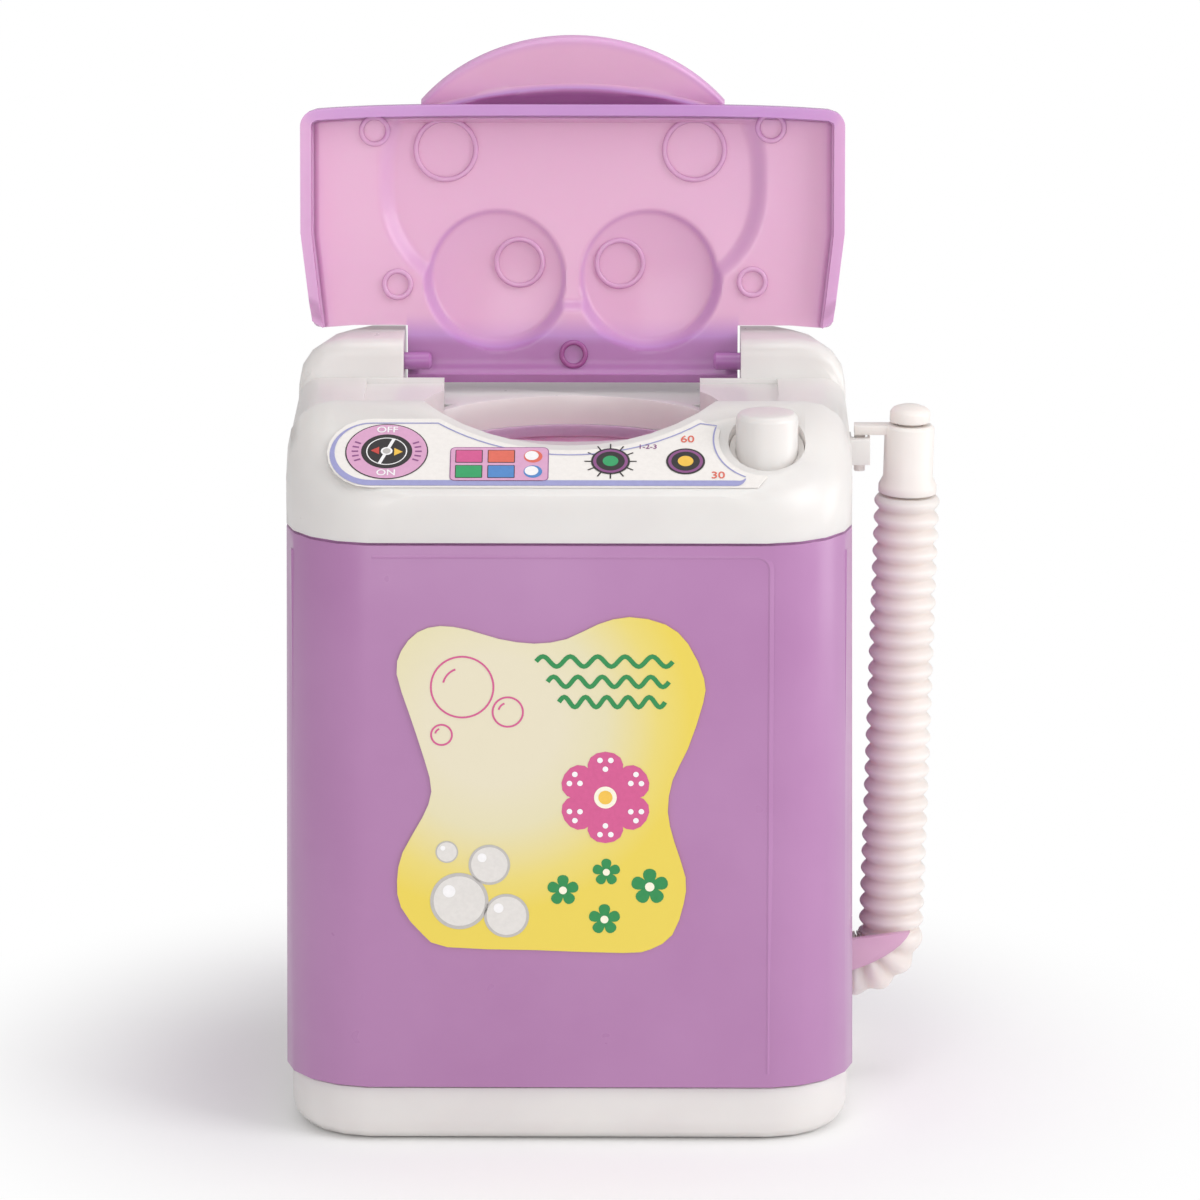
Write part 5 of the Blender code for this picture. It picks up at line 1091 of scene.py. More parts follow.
def hanging_point(column, row, step, outside):
    """Place and tint on the fold and the skirt below an edge corner of the plate."""
    fold = OUTER_FOLD if outside else INNER_FOLD
    base = 0.0 if outside else LID_WALL
    level = LID_TOP if outside else LID_INNER
    angle = math.pi / 2 * min(step / FOLD_ROWS, 1.0)
    x, reach = sheet_point(column, row, base + fold * (1 - math.sin(angle)))
    height = level - fold * (1 - math.cos(angle))
    if step > FOLD_ROWS:
        low = between(WING_LOW, SKIRT_LOW, smooth_share(reach, *WING_OPEN))
        height = between(height, low, (step - FOLD_ROWS) / HANG_ROWS)
    tint = between(EDGE_TINT, FRONT_TINT, smooth_share(reach, LID_REACH - 3, LID_REACH - 1))
    return lid_place(x, reach, height), tint


def two_skins(name, corners, cells, finish):
    """Close a sheet: corners hold (inside, outside, tint with painted shade), cells are loops of corner
    numbers.
    """
    count = len(corners)
    edges = {}
    for cell in cells:
        for a, b in zip(cell, cell[1:] + cell[:1]):
            edges[(a, b)] = edges.get((a, b), 0) + 1
    faces = [tuple(cell) for cell in cells]
    faces += [tuple(count + k for k in reversed(cell)) for cell in cells]
    for a, b in edges:
        if (b, a) not in edges:
            faces.append((b, a, count + a, count + b))
    mesh = bpy.data.meshes.new(name)
    mesh.from_pydata([corner[0] for corner in corners] + [corner[1] for corner in corners], [], faces)
    set_tint_and_shade(mesh, [corner[2] for corner in corners] * 2)
    shape = bmesh.new()
    shape.from_mesh(mesh)
    bmesh.ops.recalc_face_normals(shape, faces=shape.faces)
    shape.to_mesh(mesh)
    shape.free()
    piece = new_piece(name, mesh, finish)
    smooth(mesh)
    return piece


def lid_sheet():
    """Number every corner of plate, tongue, fold and skirt, and list the cells between them."""
    corners = []
    number = {}
    cells = []

    def add(key, inside, outside):
        number[key] = len(corners)
        corners.append((inside[0], outside[0], inside[1]))

    last = FINE_COLUMNS + COARSE_COLUMNS
    for column in range(-last, last + 1):
        first = -TONGUE_ROWS - CURL_ROWS if abs(column) <= FINE_STEPS else 0
        for row in range(first, PLATE_ROWS + 1):
            add((column, row), skin_point(column, row, False), skin_point(column, row, True))
    for column in range(-last, last):
        inner = -FINE_STEPS <= column < FINE_STEPS
        for row in range(-TONGUE_ROWS - CURL_ROWS if inner else 0, PLATE_ROWS):
            keys = ((column, row), (column, row + 1), (column + 1, row + 1), (column + 1, row))
            cells.append([number[key] for key in keys])

    loop = [(last, row) for row in range(PLATE_ROWS)]
    loop += [(column, PLATE_ROWS) for column in range(last, -last, -1)]
    loop += [(-last, row) for row in range(PLATE_ROWS, -1, -1)]
    steps = FOLD_ROWS + HANG_ROWS
    for column, row in loop:
        number[(column, row, 0)] = number[(column, row)]
        for step in range(1, steps + 1):
            inside = hanging_point(column, row, step, False)
            add((column, row, step), inside, hanging_point(column, row, step, True))
    for here, there in zip(loop, loop[1:]):
        for step in range(steps):
            keys = ((*here, step), (*here, step + 1), (*there, step + 1), (*there, step))
            cells.append([number[key] for key in keys])
    return two_skins("lid_shell", corners, cells, LILAC)


lid_shell = lid_sheet()
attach(lid_shell, "lid")
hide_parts("lid")
print("lid:", len(lid_shell.data.polygons), "faces")

# %% [markdown]
# The finger tab is a second sheet that follows the slope of the control panel when the lid is
# shut. A lens-shaped step stiffens its root; its deep colour there is partly thicker plastic and
# partly painted shade.

# %% Finger tab
TAB_HALF = 16.7
TAB_LENGTH = 8.2
TAB_ROOT = 1.0
TAB_COLUMNS = 80
TAB_ROWS = 26
TAB_ROUND = 0.4
LENS_HALF = 14.5
LENS_LENGTH = 2.4
LENS_STEP = 0.7
LENS_BLEND = (-0.15, 0.35)
# Painted shade in the lens step, together with its thicker plastic.
LENS_SHADE = 0.85
TAB_RIM_BAND = (0.1, 1.2)
TAB_PLACE = Matrix.Translation((0.0, -LID_REACH, LID_INNER + 0.1)) @ Matrix.Rotation(
    PANEL_SLOPE, 4, "X"
)


def bow(x, half, length):
    """Forward reach of a flat circular arc at x."""
    radius = (half**2 + length**2) / (2 * length)
    return math.sqrt(max(radius**2 - x**2, 0.0)) - (radius - length)


def tab_corner(column, row):
    """Inside place, outside place and tint of a corner of the tab."""
    turn = math.pi / 2 * (2 * column / TAB_COLUMNS - 1)
    x = TAB_HALF * math.sin(turn)
    rim = bow(x, TAB_HALF, TAB_LENGTH)
    flat_rows = TAB_ROWS - FOLD_ROWS
    angle = math.pi / 2 * max(row - flat_rows, 0) / FOLD_ROWS
    inset = TAB_ROUND * (1 - math.sin(angle))
    reach = between(-TAB_ROOT, rim - TAB_ROUND, min(row / flat_rows, 1.0))
    if row > flat_rows:
        reach = rim - inset
    lens = smooth_share(bow(x, LENS_HALF, LENS_LENGTH) - reach, *LENS_BLEND)
    lift = TAB_ROUND * (1 - math.cos(angle))
    inside = TAB_PLACE @ Vector((x, -reach, lift - LENS_STEP * lens))
    outside = TAB_PLACE @ Vector((x, -reach, LID_WALL - lift))
    near_rim = EDGE_TINT * (1 - smooth_share(rim - reach, *TAB_RIM_BAND))
    # Painted shade in the lens step, deepening along it.
    deep = lens * between(LENS_SHADE, 1.0, smooth_share(reach, -0.5, LENS_LENGTH))
    return lid_place(inside.x, -inside.y, inside.z), lid_place(outside.x, -outside.y, outside.z), max(
        near_rim, deep
    )


tab_corners = [
    tab_corner(column, row) for column in range(TAB_COLUMNS + 1) for row in range(TAB_ROWS + 1)
]
tab_cells = []
for column in range(TAB_COLUMNS):
    for row in range(TAB_ROWS):
        start = column * (TAB_ROWS + 1) + row
        tab_cells.append([start, start + 1, start + TAB_ROWS + 2, start + TAB_ROWS + 1])
lid_tab = two_skins("lid_tab", tab_corners, tab_cells, LILAC)
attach(lid_tab, "lid")
print("tab:", len(lid_tab.data.polygons), "faces")

# %% [markdown]
# Round lines mark the eyes and the nostrils, and smaller ones are left where pins of the mould
# pushed the lid out. Each is a closed path laid on the inner skin, and a tree sweeps a thin
# round line along all of them.

# %% Round lines on the lid
EYES = ((-14.0, 23.1, 3.3), (13.4, 23.1, 3.3))
NOSTRILS = ((-5.9, 10.6, 2.55), (5.2, 10.5, 2.55))
EJECTOR_MARKS = (
    (-21.8, 25.2, 1.45), (21.8, 25.6, 1.45), (-19.3, 8.3, 1.45), (19.8, 8.6, 1.45), (0.1, 0.6, 1.3)
)
LINE_RADIUS = 0.28
LINE_SINK = 0.205
# Painted shade: the round lines are drawn a little deeper than the sheet under them.
LINE_SHADE = 0.10
LINE_POINTS = 72
LINE_SIDES = 8


def round_lines():
    """Closed paths on the inner skin of the lid."""
    paths = []
    for x, reach, radius in EYES + NOSTRILS + EJECTOR_MARKS:
        path = []
        for k in range(LINE_POINTS):
            turn = math.tau * k / LINE_POINTS
            side, ahead = x + radius * math.cos(turn), reach + radius * math.sin(turn)
            height = LID_INNER + face_height(side, ahead, 0.0, LID_REACH - LID_WALL) - LINE_SINK
            path.append(lid_place(side, ahead, height))
        paths.append(path)
    return path_object("lid_round_lines", paths, closed=True)


def line_tree(finish):
    """Sweep a thin round line along every path."""
    tree, given = start_tree("round_lines", ("Line",))
    profile = add_node(
        tree, "GeometryNodeCurvePrimitiveCircle", {"Resolution": LINE_SIDES, "Radius": given["Line"]}
    )
    swept = add_node(
        tree, "GeometryNodeCurveToMesh",
        {"Curve": given["Geometry"], "Profile Curve": profile.outputs["Curve"]},
    )
    end_tree(tree, swept.outputs["Mesh"], finish)
    return tree


lid_lines = grow(round_lines(), line_tree(LILAC), {"Line": LINE_RADIUS * MM})
lid_lines.data.shade_smooth()
back = LID_TURN.inverted()
shut = [back @ (corner.co / MM - HINGE) for corner in lid_lines.data.vertices]
set_tint_and_shade(lid_lines.data, [LINE_SHADE + lid_tint_and_shade(at.x, -at.y, lid_half(-at.y, 0.0)) for at in shut])
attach(lid_lines, "lid")
print("round lines:", len(lid_lines.data.polygons), "faces")

# %% [markdown]
# Two short pins at the tongue's corners turn in the humps of the cover, and a web ties each pin to
# the tongue.

# %% Hinge pins
PIN_RADIUS = 0.95
PIN_ROOT = 15.5
PIN_REACH = 21.5
PIN_ROUND = 0.3
PIN_SIDES = 32
PIN_TINT = 0.7
WEB_SPAN = (17.0, 18.1)
WEB_HALF = 0.76


def hinge_pins():
    """Two round pins and their webs as one mesh on the lid."""
    shape = bmesh.new()
    profile = [(0.0, PIN_ROOT), (PIN_RADIUS - PIN_ROUND, PIN_ROOT), (PIN_RADIUS, PIN_ROOT + PIN_ROUND)]
    profile += [(PIN_RADIUS, PIN_REACH), (0.0, PIN_REACH)]
    for side in (-1, 1):
        pin = turned_form("pin", profile, PIN_SIDES)
        pin.transform(Matrix.Rotation(side * math.pi / 2, 4, "Y"))
        shape.from_mesh(pin)
        bpy.data.meshes.remove(pin)
        made = bmesh.ops.create_cube(shape, size=1.0)["verts"]
        for vertex in made:
            x = WEB_SPAN[1] if vertex.co.x > 0 else WEB_SPAN[0]
            z = LID_INNER + LID_WALL / 2 if vertex.co.z > 0 else 0.0
            vertex.co = (side * x, math.copysign(WEB_HALF, vertex.co.y), z)
    for vertex in shape.verts:
        vertex.co = lid_place(vertex.co.x, -vertex.co.y, vertex.co.z)
    mesh = plain_mesh("lid_pins", shape)
    set_tint_and_shade(mesh, [PIN_TINT] * len(mesh.vertices))
    smooth(mesh)
    return new_piece("lid_pins", mesh, LILAC)


lid_pins = hinge_pins()
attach(lid_pins, "lid")
print("pins:", len(lid_pins.data.polygons), "faces")

# %% [markdown]
# ## Printed films
#
# The panel label is a glossy film and the front label is coated paper. Their CAD solids have the
# right outline, so they stay, with a base colour of their own. The paper is cream about its upper
# left and fades to yellow with the distance from there.

# %% Label stocks
PAPER_HEART = Vector((-8.0, -25.3, 47.0)) * MM
PAPER_FADE = (7 * MM, 21 * MM)
PAPER_STOPS = ((0.00, "#e6ddc2"), (0.35, "#e4dbb4"), (0.75, "#e9d676"), (1.00, "#ead255"))
PRINT_DOT = 0.5 * MM
PAPER_ROUGHNESS = 0.38


def label_film(name, colours, roughness):
    """Smooth printed film with the faint dots of its print."""
    finish, tree, shader, place = start_finish(name)
    fill_inputs(tree, shader, {
        "Base Color": two_tone(tree, place, PRINT_DOT, colours),
        "Roughness": uneven(tree, place, FINE_CLOUD, roughness),
    })
    return finish


def fading_paper(name):
    """Coated paper whose cream heart fades to yellow with distance."""
    finish, tree, shader, place = start_finish(name)
    away = add_node(
        tree, "ShaderNodeVectorMath", {0: place, 1: PAPER_HEART}, operation="DISTANCE"
    ).outputs["Value"]
    shifted = add_node(
        tree, "ShaderNodeMapRange",
        {"Value": away, "From Min": PAPER_FADE[0], "From Max": PAPER_FADE[1]},
    )
    ramp = add_node(tree, "ShaderNodeValToRGB", {"Fac": shifted.outputs["Result"]})
    fill_ramp(ramp, PAPER_STOPS)
    fill_inputs(tree, shader, {
        "Base Color": ramp.outputs["Color"],
        "Roughness": uneven(tree, place, FINE_CLOUD, PAPER_ROUGHNESS),
    })
    return finish


FILM = label_film("printed_glossy_film", ("#efeae6", "#f3eeea"), 0.25)
PAPER = fading_paper("printed_coated_paper")
coat("panel_label", FILM)
coat("front_label", PAPER)
print("label stocks:", FILM.name, PAPER.name)

# %% [markdown]
# ## Printing ink
#
# Each printed mark is a thin flat shape laid on its label, with an outline in millimetres. The
# marks are kept as shapes and not as a picture, so they stay sharp however near one looks. Each
# layer lies a hundredth of a millimetre above the last, as real screen-printed ink does.

# %% Print helpers
LAYER = 0.012 * MM
FASCIA_TOP = 71.2 * MM
HALF_DEPTH = 25 * MM
FILM_TOP = 0.25 * MM
INK_ROUGHNESS = 0.30
INK_GAIN = 1.05
INK_LIFT = 0.004
LETTER_WEIGHT = 0.012
INKS = {}


def ink(name, code):
    """Ink of one hue, with the slight unevenness of a screen print."""
    if name not in INKS:
        INKS[name] = label_film("printed_ink_" + name, (code, code), INK_ROUGHNESS)
        ramp = next(node for node in INKS[name].node_tree.nodes if node.type == "VALTORGB")
        ramp.color_ramp.elements[1].color = tuple(
            min(1.0, value * INK_GAIN + INK_LIFT) for value in linear(code)
        )
    return INKS[name]


COLOURS = {
    "white": "#f3f1f2", "blue_border": "#9c9ccb", "pink": "#d9a3c6", "plum": "#8c4f86",
    "black": "#2a2527",
    "red": "#c8463f", "yellow": "#f0c04a", "green": "#2f9f63", "magenta": "#d2588f",
    "orange": "#de6a58",
    "blue": "#4f86c6", "cream": "#f6f1dc", "grey": "#bdb9b6", "light_grey": "#dedad6",
    "leaf": "#238a4a",
}


def ring_points(centre, radius, sides=48):
    """Points of a circle in print millimetres."""
    angles = [math.tau * k / sides for k in range(sides)]
    return [
        (centre[0] + radius * math.cos(turn), centre[1] + radius * math.sin(turn)) for turn in angles
    ]


def rounded_box(low, high, radius, steps=5):
    """Points of a rounded rectangle in print millimetres."""
    points = []
    corners = ((high[0], low[1]), (high[0], high[1]), (low[0], high[1]), (low[0], low[1]))
    for k, corner in enumerate(corners):
        centre = (
            corner[0] - math.copysign(radius, corner[0] - (low[0] + high[0]) / 2),
            corner[1] - math.copysign(radius, corner[1] - (low[1] + high[1]) / 2),
        )
        for step in range(steps + 1):
            angle = math.pi / 2 * (k - 1 + step / steps)
            points.append((centre[0] + radius * math.cos(angle), centre[1] + radius * math.sin(angle)))
    return points


def stripe(points, width, closed=False):
    """Outline pieces of a line of even width through the points."""
    pieces = []
    count = len(points)
    sides = []
    for k, point in enumerate(points):
        before = points[(k - 1) % count] if closed or k else points[0]
        after = points[(k + 1) % count] if closed or k < count - 1 else points[-1]
        along = Vector((after[0] - before[0], after[1] - before[1])).normalized()
        across = Vector((-along.y, along.x)) * width / 2
        sides.append(
            ((point[0] - across.x, point[1] - across.y), (point[0] + across.x, point[1] + across.y))
        )
    pairs = list(zip(sides, sides[1:] + sides[:1])) if closed else list(zip(sides, sides[1:]))
    for (a, b), (c, d) in pairs:
        pieces.append([a, c, d, b])
    return pieces


def lettering(text, size, centre):
    """Outline triangles of a short word or number, centred on a point."""
    curve = bpy.data.curves.new("lettering", "FONT")
    curve.body = text
    curve.size = size
    curve.align_x = "CENTER"
    curve.align_y = "CENTER"
    curve.offset = size * LETTER_WEIGHT
    carrier = bpy.data.objects.new("lettering", curve)
    bpy.context.scene.collection.objects.link(carrier)
    bpy.context.view_layer.update()
    graph = bpy.context.evaluated_depsgraph_get()
    mesh = bpy.data.meshes.new_from_object(carrier.evaluated_get(graph))
    bpy.data.objects.remove(carrier, do_unlink=True)
    pieces = []
    for face in mesh.polygons:
        points = [mesh.vertices[k].co for k in face.vertices]
        pieces.append([(centre[0] + point.x, centre[1] + point.y) for point in points])
    bpy.data.meshes.remove(mesh)
    return pieces


def on_panel(x, run, layer):
    """Place a print point on the sloped panel: x to the right, run up the slope from its foot."""
    lift = FILM_TOP + LAYER * layer
    y = -HALF_DEPTH + run * MM * math.cos(PANEL_SLOPE) - lift * math.sin(PANEL_SLOPE)
    z = FASCIA_TOP + run * MM * math.sin(PANEL_SLOPE) + lift * math.cos(PANEL_SLOPE)
    return Vector((x * MM, y, z))


def print_marks(name, marks, place, body):
    """Make one mesh of all marks: each mark is (colour name, layer, list of outlines)."""
    shape = bmesh.new()
    used = []
    for colour, layer, outlines in marks:
        if colour not in used:
            used.append(colour)
        for outline in outlines:
            corners = [shape.verts.new(place(a, b, layer)) for a, b in outline]
            face = shape.faces.new(corners)
            face.material_index = used.index(colour)
    shape.normal_update()
    for face in shape.faces:
        if face.normal.y > 0:
            face.normal_flip()
    bmesh.ops.triangulate(shape, faces=shape.faces)
    mesh = bpy.data.meshes.new(name)
    shape.to_mesh(mesh)
    shape.free()
    piece = new_piece(name, mesh)
    for colour in used:
        mesh.materials.append(ink(colour, COLOURS[colour]))
    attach(piece, body)
    print(name, len(mesh.polygons), "faces in", len(used), "inks")
    return piece


print(len(COLOURS), "ink colours named")

# %% [markdown]
# ## The control panel's print
#
# From left to right: an ON and OFF dial, a block of coloured keys with two lamps, a dial with
# tick marks and a dial with a warm centre, with plain numbers beside them.

# %% Control panel print
DIAL = (-19.2, 6.7)
KEYS_LOW = (-12.4, 2.15)
KEYS_HIGH = (-2.2, 7.3)
TICK_DIAL = (4.4, 5.2)
WARM_DIAL = (12.3, 5.2)
SMALL_DIAL = 2.05
KEY_SIZE = (2.7, 1.85)
KEY_START = (0.55, 0.45)
KEY_PITCH = (3.4, 2.4)
LAMP_START = (8.65, 1.38)

panel_marks = []


def mark(colour, layer, outlines):
    """Add outlines in one ink to the panel's print."""
    panel_marks.append((colour, layer, outlines))


def disc(colour, layer, centre, radius):
    """One filled circle."""
    mark(colour, layer, [ring_points(centre, radius)])


def ticks(colour, layer, dial, reaches, width, angles):
    """Short lines that point away from the middle of a dial."""
    for angle in angles:
        ends = [
            (dial[0] + reach * math.cos(angle), dial[1] + reach * math.sin(angle)) for reach in reaches
        ]
        mark(colour, layer, stripe(ends, width))


def grown_box(low, high, edge, radius):
    """A rounded rectangle that stands out by an edge on every side."""
    return rounded_box((low[0] - edge, low[1] - edge), (high[0] + edge, high[1] + edge), radius)


for colour, layer, radius in (("black", 1, 4.38), ("pink", 2, 4.25), ("black", 3, 2.70)):
    disc(colour, layer, DIAL, radius)
mark("white", 4, stripe(ring_points(DIAL, 2.1), 0.12, closed=True))
mark("white", 5, stripe([(DIAL[0] - 0.75, DIAL[1] - 2.0), (DIAL[0] + 0.75, DIAL[1] + 2.0)], 0.35))
disc("white", 6, DIAL, 0.62)
disc("grey", 7, DIAL, 0.42)
mark(
    "red", 5,
    [[(DIAL[0] - 1.7, DIAL[1] + 0.1), (DIAL[0] - 0.8, DIAL[1] - 0.5), (DIAL[0] - 0.8, DIAL[1] + 0.7)]]
)
mark(
    "yellow", 5,
    [[(DIAL[0] + 1.7, DIAL[1] - 0.1), (DIAL[0] + 0.8, DIAL[1] + 0.5), (DIAL[0] + 0.8, DIAL[1] - 0.7)]]
)
mark("white", 4, lettering("OFF", 1.30, (DIAL[0], DIAL[1] + 3.4)))
mark("white", 4, lettering("ON", 1.30, (DIAL[0], DIAL[1] - 3.4)))
fan = [math.radians(turn) + half for half in (math.pi, 0) for turn in (-24, -12, 0, 12, 24)]
ticks("plum", 4, DIAL, (3.0, 3.7), 0.22, fan)

mark("plum", 1, [grown_box(KEYS_LOW, KEYS_HIGH, 0.1, 0.6)])
mark("pink", 2, [rounded_box(KEYS_LOW, KEYS_HIGH, 0.5)])
for column, row, colour in ((0, 1, "magenta"), (1, 1, "orange"), (0, 0, "green"), (1, 0, "blue")):
    low = tuple(
        KEYS_LOW[k] + KEY_START[k] + count * KEY_PITCH[k] for k, count in enumerate((column, row))
    )
    high = (low[0] + KEY_SIZE[0], low[1] + KEY_SIZE[1])
    mark("black", 3, [grown_box(low, high, 0.09, 0.12)])
    mark(colour, 4, [rounded_box(low, high, 0.08)])
for row, colour in ((1, "orange"), (0, "blue")):
    lamp = (KEYS_LOW[0] + LAMP_START[0], KEYS_LOW[1] + LAMP_START[1] + row * KEY_PITCH[1])
    disc(colour, 3, lamp, 0.98)
    disc("white", 4, (lamp[0] - 0.15, lamp[1] + 0.12), 0.72)

ticks("black", 1, TICK_DIAL, (2.0, 2.75), 0.16, [math.tau * turn / 12 for turn in range(12)])
for centre, colour in ((TICK_DIAL, "green"), (WARM_DIAL, "yellow")):
    disc("black", 2, centre, SMALL_DIAL)
    disc("plum", 3, centre, SMALL_DIAL - 0.22)
    disc("black", 4, centre, SMALL_DIAL - 0.55)
    disc(colour, 5, centre, 0.82)
mark("orange", 1, lettering("60", 1.5, (WARM_DIAL[0] + 0.2, WARM_DIAL[1] + 3.5)))
mark("orange", 1, lettering("30", 1.5, (WARM_DIAL[0] + 3.4, WARM_DIAL[1] - 2.2)))
mark("plum", 1, lettering("1-2-3", 0.95, (TICK_DIAL[0] + 3.9, TICK_DIAL[1] + 2.3)))
print(len(panel_marks), "marks on the panel")

# %% [markdown]
# ## The panel's border
#
# A lavender line follows the film's edge, thick along the foot and round the left end and thin
# along the top. It is drawn from the same arcs as the film's own outline.

# %% Panel border
LABEL_END = (-20.8, -19.3, 4.7)
LABEL_TOP = -14.6
LABEL_FOOT = -24.0
LABEL_DIP = (0.0, 4.5, 23.5)
LABEL_WELL = (20.9, -17.4, 5.1)
BORDER_INSET = 0.55
THICK_LINE = 0.85
TURN_UP = (17.6, 1.1)
THIN_LINE = 0.16
ARC_STEPS = 24


def plan_arc(circle, inset, start, stop):
    """Arc in plan about (x, depth, radius), drawn from one angle in degrees to another."""
    points = []
    for step in range(ARC_STEPS + 1):
        angle = math.radians(between(start, stop, step / ARC_STEPS))
        radius = circle[2] + inset
        points.append((circle[0] + radius * math.cos(angle), circle[1] + radius * math.sin(angle)))
    return points


def up_slope(points):
    """Turn plan depths into runs up the slope from its foot."""
    return [(x, (y * MM + HALF_DEPTH) / MM / math.cos(PANEL_SLOPE)) for x, y in points]


def tapered(points, widths):
    """Outline of a line whose width changes along it."""
    sides = ([], [])
    last = len(points) - 1
    for k, (point, width) in enumerate(zip(points, widths)):
        ahead, behind = Vector(points[min(k + 1, last)]), Vector(points[max(k - 1, 0)])
        along = (ahead - behind).normalized()
        for side, way in zip(sides, (0.5, -0.5)):
            side.append((point[0] - along.y * width * way, point[1] + along.x * width * way))
    return [sides[0] + sides[1][::-1]]


foot = LABEL_FOOT + BORDER_INSET
left_arc = plan_arc(LABEL_END, -BORDER_INSET, 90, 270)
turn_up = plan_arc((TURN_UP[0], foot + TURN_UP[1], TURN_UP[1]), 0.0, 270, 335)
low_path = up_slope(left_arc + turn_up)
low_widths = [
    between(THIN_LINE, THICK_LINE, smooth_share(k, 0, ARC_STEPS)) for k in range(ARC_STEPS + 1)
]
low_widths += [
    between(THICK_LINE, THIN_LINE, smooth_share(k, 0, ARC_STEPS)) for k in range(ARC_STEPS + 1)
]
dip_angle = math.degrees(
    math.acos((LABEL_DIP[1] - LABEL_TOP + BORDER_INSET) / (LABEL_DIP[2] + BORDER_INSET))
)
high_path = [(LABEL_END[0], LABEL_TOP - BORDER_INSET)]
high_path += plan_arc(LABEL_DIP, BORDER_INSET, 270 - dip_angle, 270 + dip_angle)
high_path += plan_arc(LABEL_WELL, BORDER_INSET, 160, 246)
mark("blue_border", 1, tapered(low_path, low_widths))
mark("blue_border", 1, stripe(up_slope(high_path), THIN_LINE))
print_marks("panel_print", panel_marks, on_panel, "body")

# %% [markdown]
# ## The front label's print
#
# The label carries a cheerful wash-day print: soap bubbles, a dotted flower and wavy lines of
# water in the pinks, greens and greys that suit the yellow paper.

# %% Front label print
PAPER_FACE = -(HALF_DEPTH + 0.45 * MM)
PAPER_FOOT = HOUSING_FOOT * MM
PAPER_LEAN = (0.5 * MM) / (59.5 * MM)
PAPER_LIFT = 0.265 * MM
PAPER_GAP = 0.05 * MM


def on_front(x, z, layer):
    """Place a print point on the front label: x to the right, z up."""
    lean = (z * MM - PAPER_FOOT) * PAPER_LEAN
    return Vector((x * MM, PAPER_FACE - PAPER_GAP + lean - PAPER_LIFT - LAYER * layer, z * MM))


front_marks = []


def petal_outline(centre, reach, width, angle, steps=16):
    """Outline of one rounded petal pointing away from the centre."""
    points = []
    for step in range(steps):
        turn = math.tau * step / steps
        along = reach * (0.55 + 0.45 * math.cos(turn))
        across = width * math.sin(turn) * (1 + 0.35 * math.cos(turn))
        points.append((
            centre[0] + along * math.cos(angle) - across * math.sin(angle),
            centre[1] + along * math.sin(angle) + across * math.cos(angle),
        ))
    return points


def flower(centre, reach, petals, colour, dots):
    """A flower with dotted petals and a pale heart."""
    for k in range(petals):
        angle = math.pi / 2 + math.tau * k / petals
        front_marks.append((colour, 1 + k % 2, [petal_outline(centre, reach, reach * 0.36, angle)]))
        for share, offset in dots:
            spot = (
                centre[0] + reach * share * math.cos(angle + offset),
                centre[1] + reach * share * math.sin(angle + offset),
            )
            front_marks.append(("white", 3, [ring_points(spot, reach * 0.06, 16)]))
    front_marks.append(("cream", 3, [ring_points(centre, reach * 0.24)]))
    front_marks.append(("yellow", 4, [ring_points(centre, reach * 0.15)]))


def bubble(centre, radius, colour, width):
    """A soap bubble: a ring and a small highlight."""
    front_marks.append((colour, 1, stripe(ring_points(centre, radius), width, closed=True)))
    shine = [
        (centre[0] + 0.62 * radius * math.cos(angle), centre[1] + 0.62 * radius * math.sin(angle))
        for angle in [math.radians(110 + 8 * k) for k in range(8)]
    ]
    front_marks.append((colour, 1, stripe(shine, width)))


def water(start, length, waves, height, colour, width):
    """A wavy line that runs to the right."""
    steps = waves * 12
    points = [
        (start[0] + length * k / steps, start[1] + height * math.sin(math.tau * waves * k / steps))
        for k in range(steps + 1)
    ]
    front_marks.append((colour, 1, stripe(points, width)))


flower((3.9, 38.6), 5.0, 6, "magenta", ((0.62, 0.0), (0.82, 0.14), (0.82, -0.14)))
for centre, radius in (((-11.2, 50.6), 3.3), ((-6.4, 47.9), 1.6), ((-13.4, 45.4), 1.1)):
    bubble(centre, radius, "magenta", 0.20)
for row, height in enumerate((53.4, 51.2, 49.0)):
    water((-3.4 + 1.2 * row, height), 14.4 - 1.6 * row, 5, 0.55, "leaf", 0.50)
FOAM = (((-11.6, 27.2), 3.1), ((-6.6, 25.6), 2.4), ((-8.4, 31.2), 2.2), ((-12.9, 32.6), 1.2))
for centre, radius in FOAM:
    front_marks.append(("grey", 1, [ring_points(centre, radius)]))
    front_marks.append(("light_grey", 2, [ring_points(centre, radius * 0.88)]))
    shine = (centre[0] - radius * 0.35, centre[1] + radius * 0.35)
    front_marks.append(("white", 3, [ring_points(shine, radius * 0.22, 20)]))
for centre, reach in (((-0.6, 28.4), 1.7), ((4.0, 30.4), 1.5), ((8.6, 28.8), 2.0), ((3.8, 25.2), 1.7)):
    for k in range(5):
        angle = math.pi / 2 + math.tau * k / 5
        front_marks.append(("leaf", 1, [petal_outline(centre, reach, reach * 0.34, angle)]))
    front_marks.append(("cream", 2, [ring_points(centre, reach * 0.25, 20)]))
print_marks("front_print", front_marks, on_front, "body")

# %% [markdown]
# ## Floor, light and background
#
# A plain pale floor takes a soft shadow and turns to plain white a little way off. The world is
# even and pale, and shows as white behind the toy. One large lamp at the right front shapes the
# forms and a weaker one stands at the right. One fills the left, and one from above lights the
# ledge and the tub.

# %% Floor and world
FLOOR_SIZE = 4.0
FLOOR_CLOUD = 0.4
FLOOR_FADE = (0.036, 0.080)
WORLD_LEVEL = 0.52
LAMP_AIM = (0.0, 0.0, 0.05)


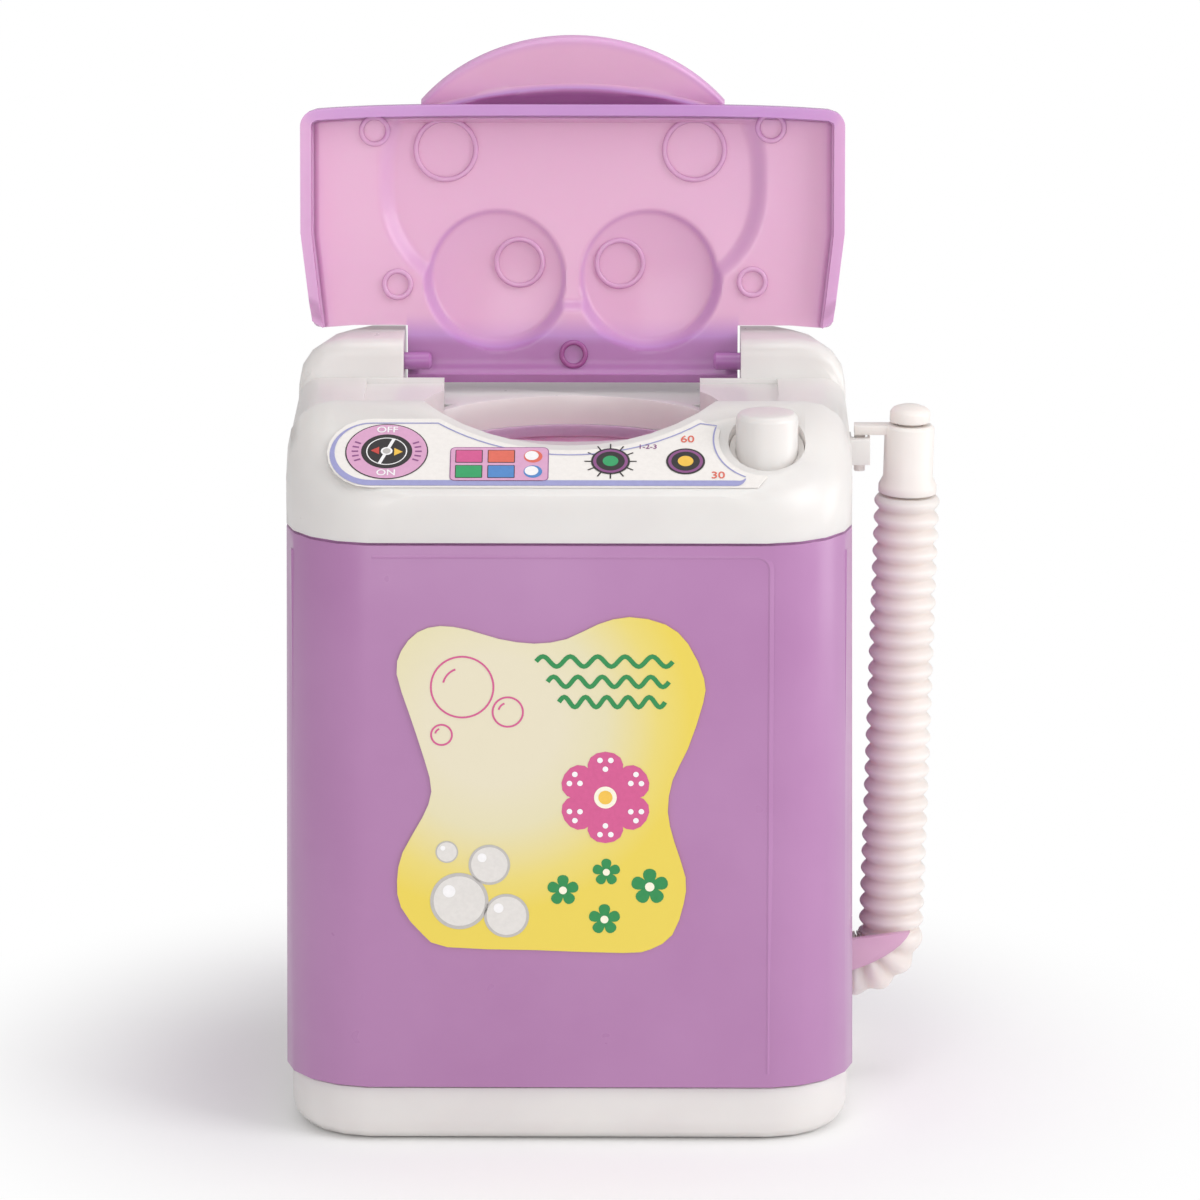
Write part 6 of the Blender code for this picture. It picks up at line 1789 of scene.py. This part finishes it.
def make_floor():
    """A plain matt floor under the object."""
    shape = bmesh.new()
    bmesh.ops.create_grid(shape, x_segments=1, y_segments=1, size=FLOOR_SIZE / 2)
    mesh = bpy.data.meshes.new("floor")
    shape.to_mesh(mesh)
    shape.free()
    finish, tree, shader, place = start_finish("pale_backdrop_paper")
    fill_inputs(tree, shader, {
        "Base Color": two_tone(tree, place, FLOOR_CLOUD, ("#fbfbfb", "#fdfdfd")),
        "Roughness": 0.9,
        "Specular IOR Level": 0.1,
    })
    away = add_node(tree, "ShaderNodeVectorMath", {0: place}, operation="LENGTH").outputs["Value"]
    fade = add_node(
        tree, "ShaderNodeMapRange",
        {"Value": away, "From Min": FLOOR_FADE[0], "From Max": FLOOR_FADE[1]},
        interpolation_type="SMOOTHSTEP",
    )
    path = add_node(tree, "ShaderNodeLightPath")
    seen = maths(tree, "MULTIPLY", fade.outputs["Result"], path.outputs["Is Camera Ray"])
    white = add_node(tree, "ShaderNodeEmission", {"Color": (1.0, 1.0, 1.0, 1.0), "Strength": 1.0})
    both = add_node(
        tree, "ShaderNodeMixShader", {0: seen, 1: shader.outputs["BSDF"], 2: white.outputs["Emission"]}
    )
    output = next(node for node in tree.nodes if node.type == "OUTPUT_MATERIAL")
    tree.links.new(both.outputs["Shader"], output.inputs["Surface"])
    floor = new_piece("floor", mesh, finish)
    floor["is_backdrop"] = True


def make_world():
    """Even pale surroundings, white where the camera and reflections see them."""
    world = bpy.data.worlds.new("studio")
    world.use_nodes = True
    tree = world.node_tree
    tree.nodes.clear()
    path = add_node(tree, "ShaderNodeLightPath")
    shown = maths(tree, "MAXIMUM", path.outputs["Is Camera Ray"], path.outputs["Is Transmission Ray"])
    level = add_node(
        tree, "ShaderNodeMapRange", {"Value": shown, "To Min": WORLD_LEVEL, "To Max": 1.0}
    )
    light = add_node(
        tree, "ShaderNodeBackground",
        {"Color": (1.0, 1.0, 1.0, 1.0), "Strength": level.outputs["Result"]},
    )
    add_node(tree, "ShaderNodeOutputWorld", {"Surface": light.outputs["Background"]})
    bpy.context.scene.world = world


def make_lamp(name, place, size, power):
    """A square soft lamp aimed at the toy."""
    data = bpy.data.lights.new(name, "AREA")
    data.size = size
    data.energy = power
    lamp = bpy.data.objects.new(name, data)
    lamp.location = place
    lamp.rotation_mode = "QUATERNION"
    lamp.rotation_quaternion = (Vector(LAMP_AIM) - Vector(place)).to_track_quat("-Z", "Y")
    bpy.context.scene.collection.objects.link(lamp)


make_floor()
make_world()
make_lamp("key_lamp", (0.80, -0.42, 0.52), 0.5, 3.45)
make_lamp("side_lamp", (0.95, 0.02, 0.15), 0.4, 1.6)
make_lamp("fill_lamp", (-0.20, -0.95, 0.40), 0.5, 2.0)
make_lamp("top_lamp", (0.05, -0.10, 0.95), 0.5, 1.7)
bpy.context.scene.view_settings.view_transform = "Standard"
print("stage ready")

# %% Finish
low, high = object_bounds()
print("dressed box in mm:", [round(size / MM, 1) for size in high - low])
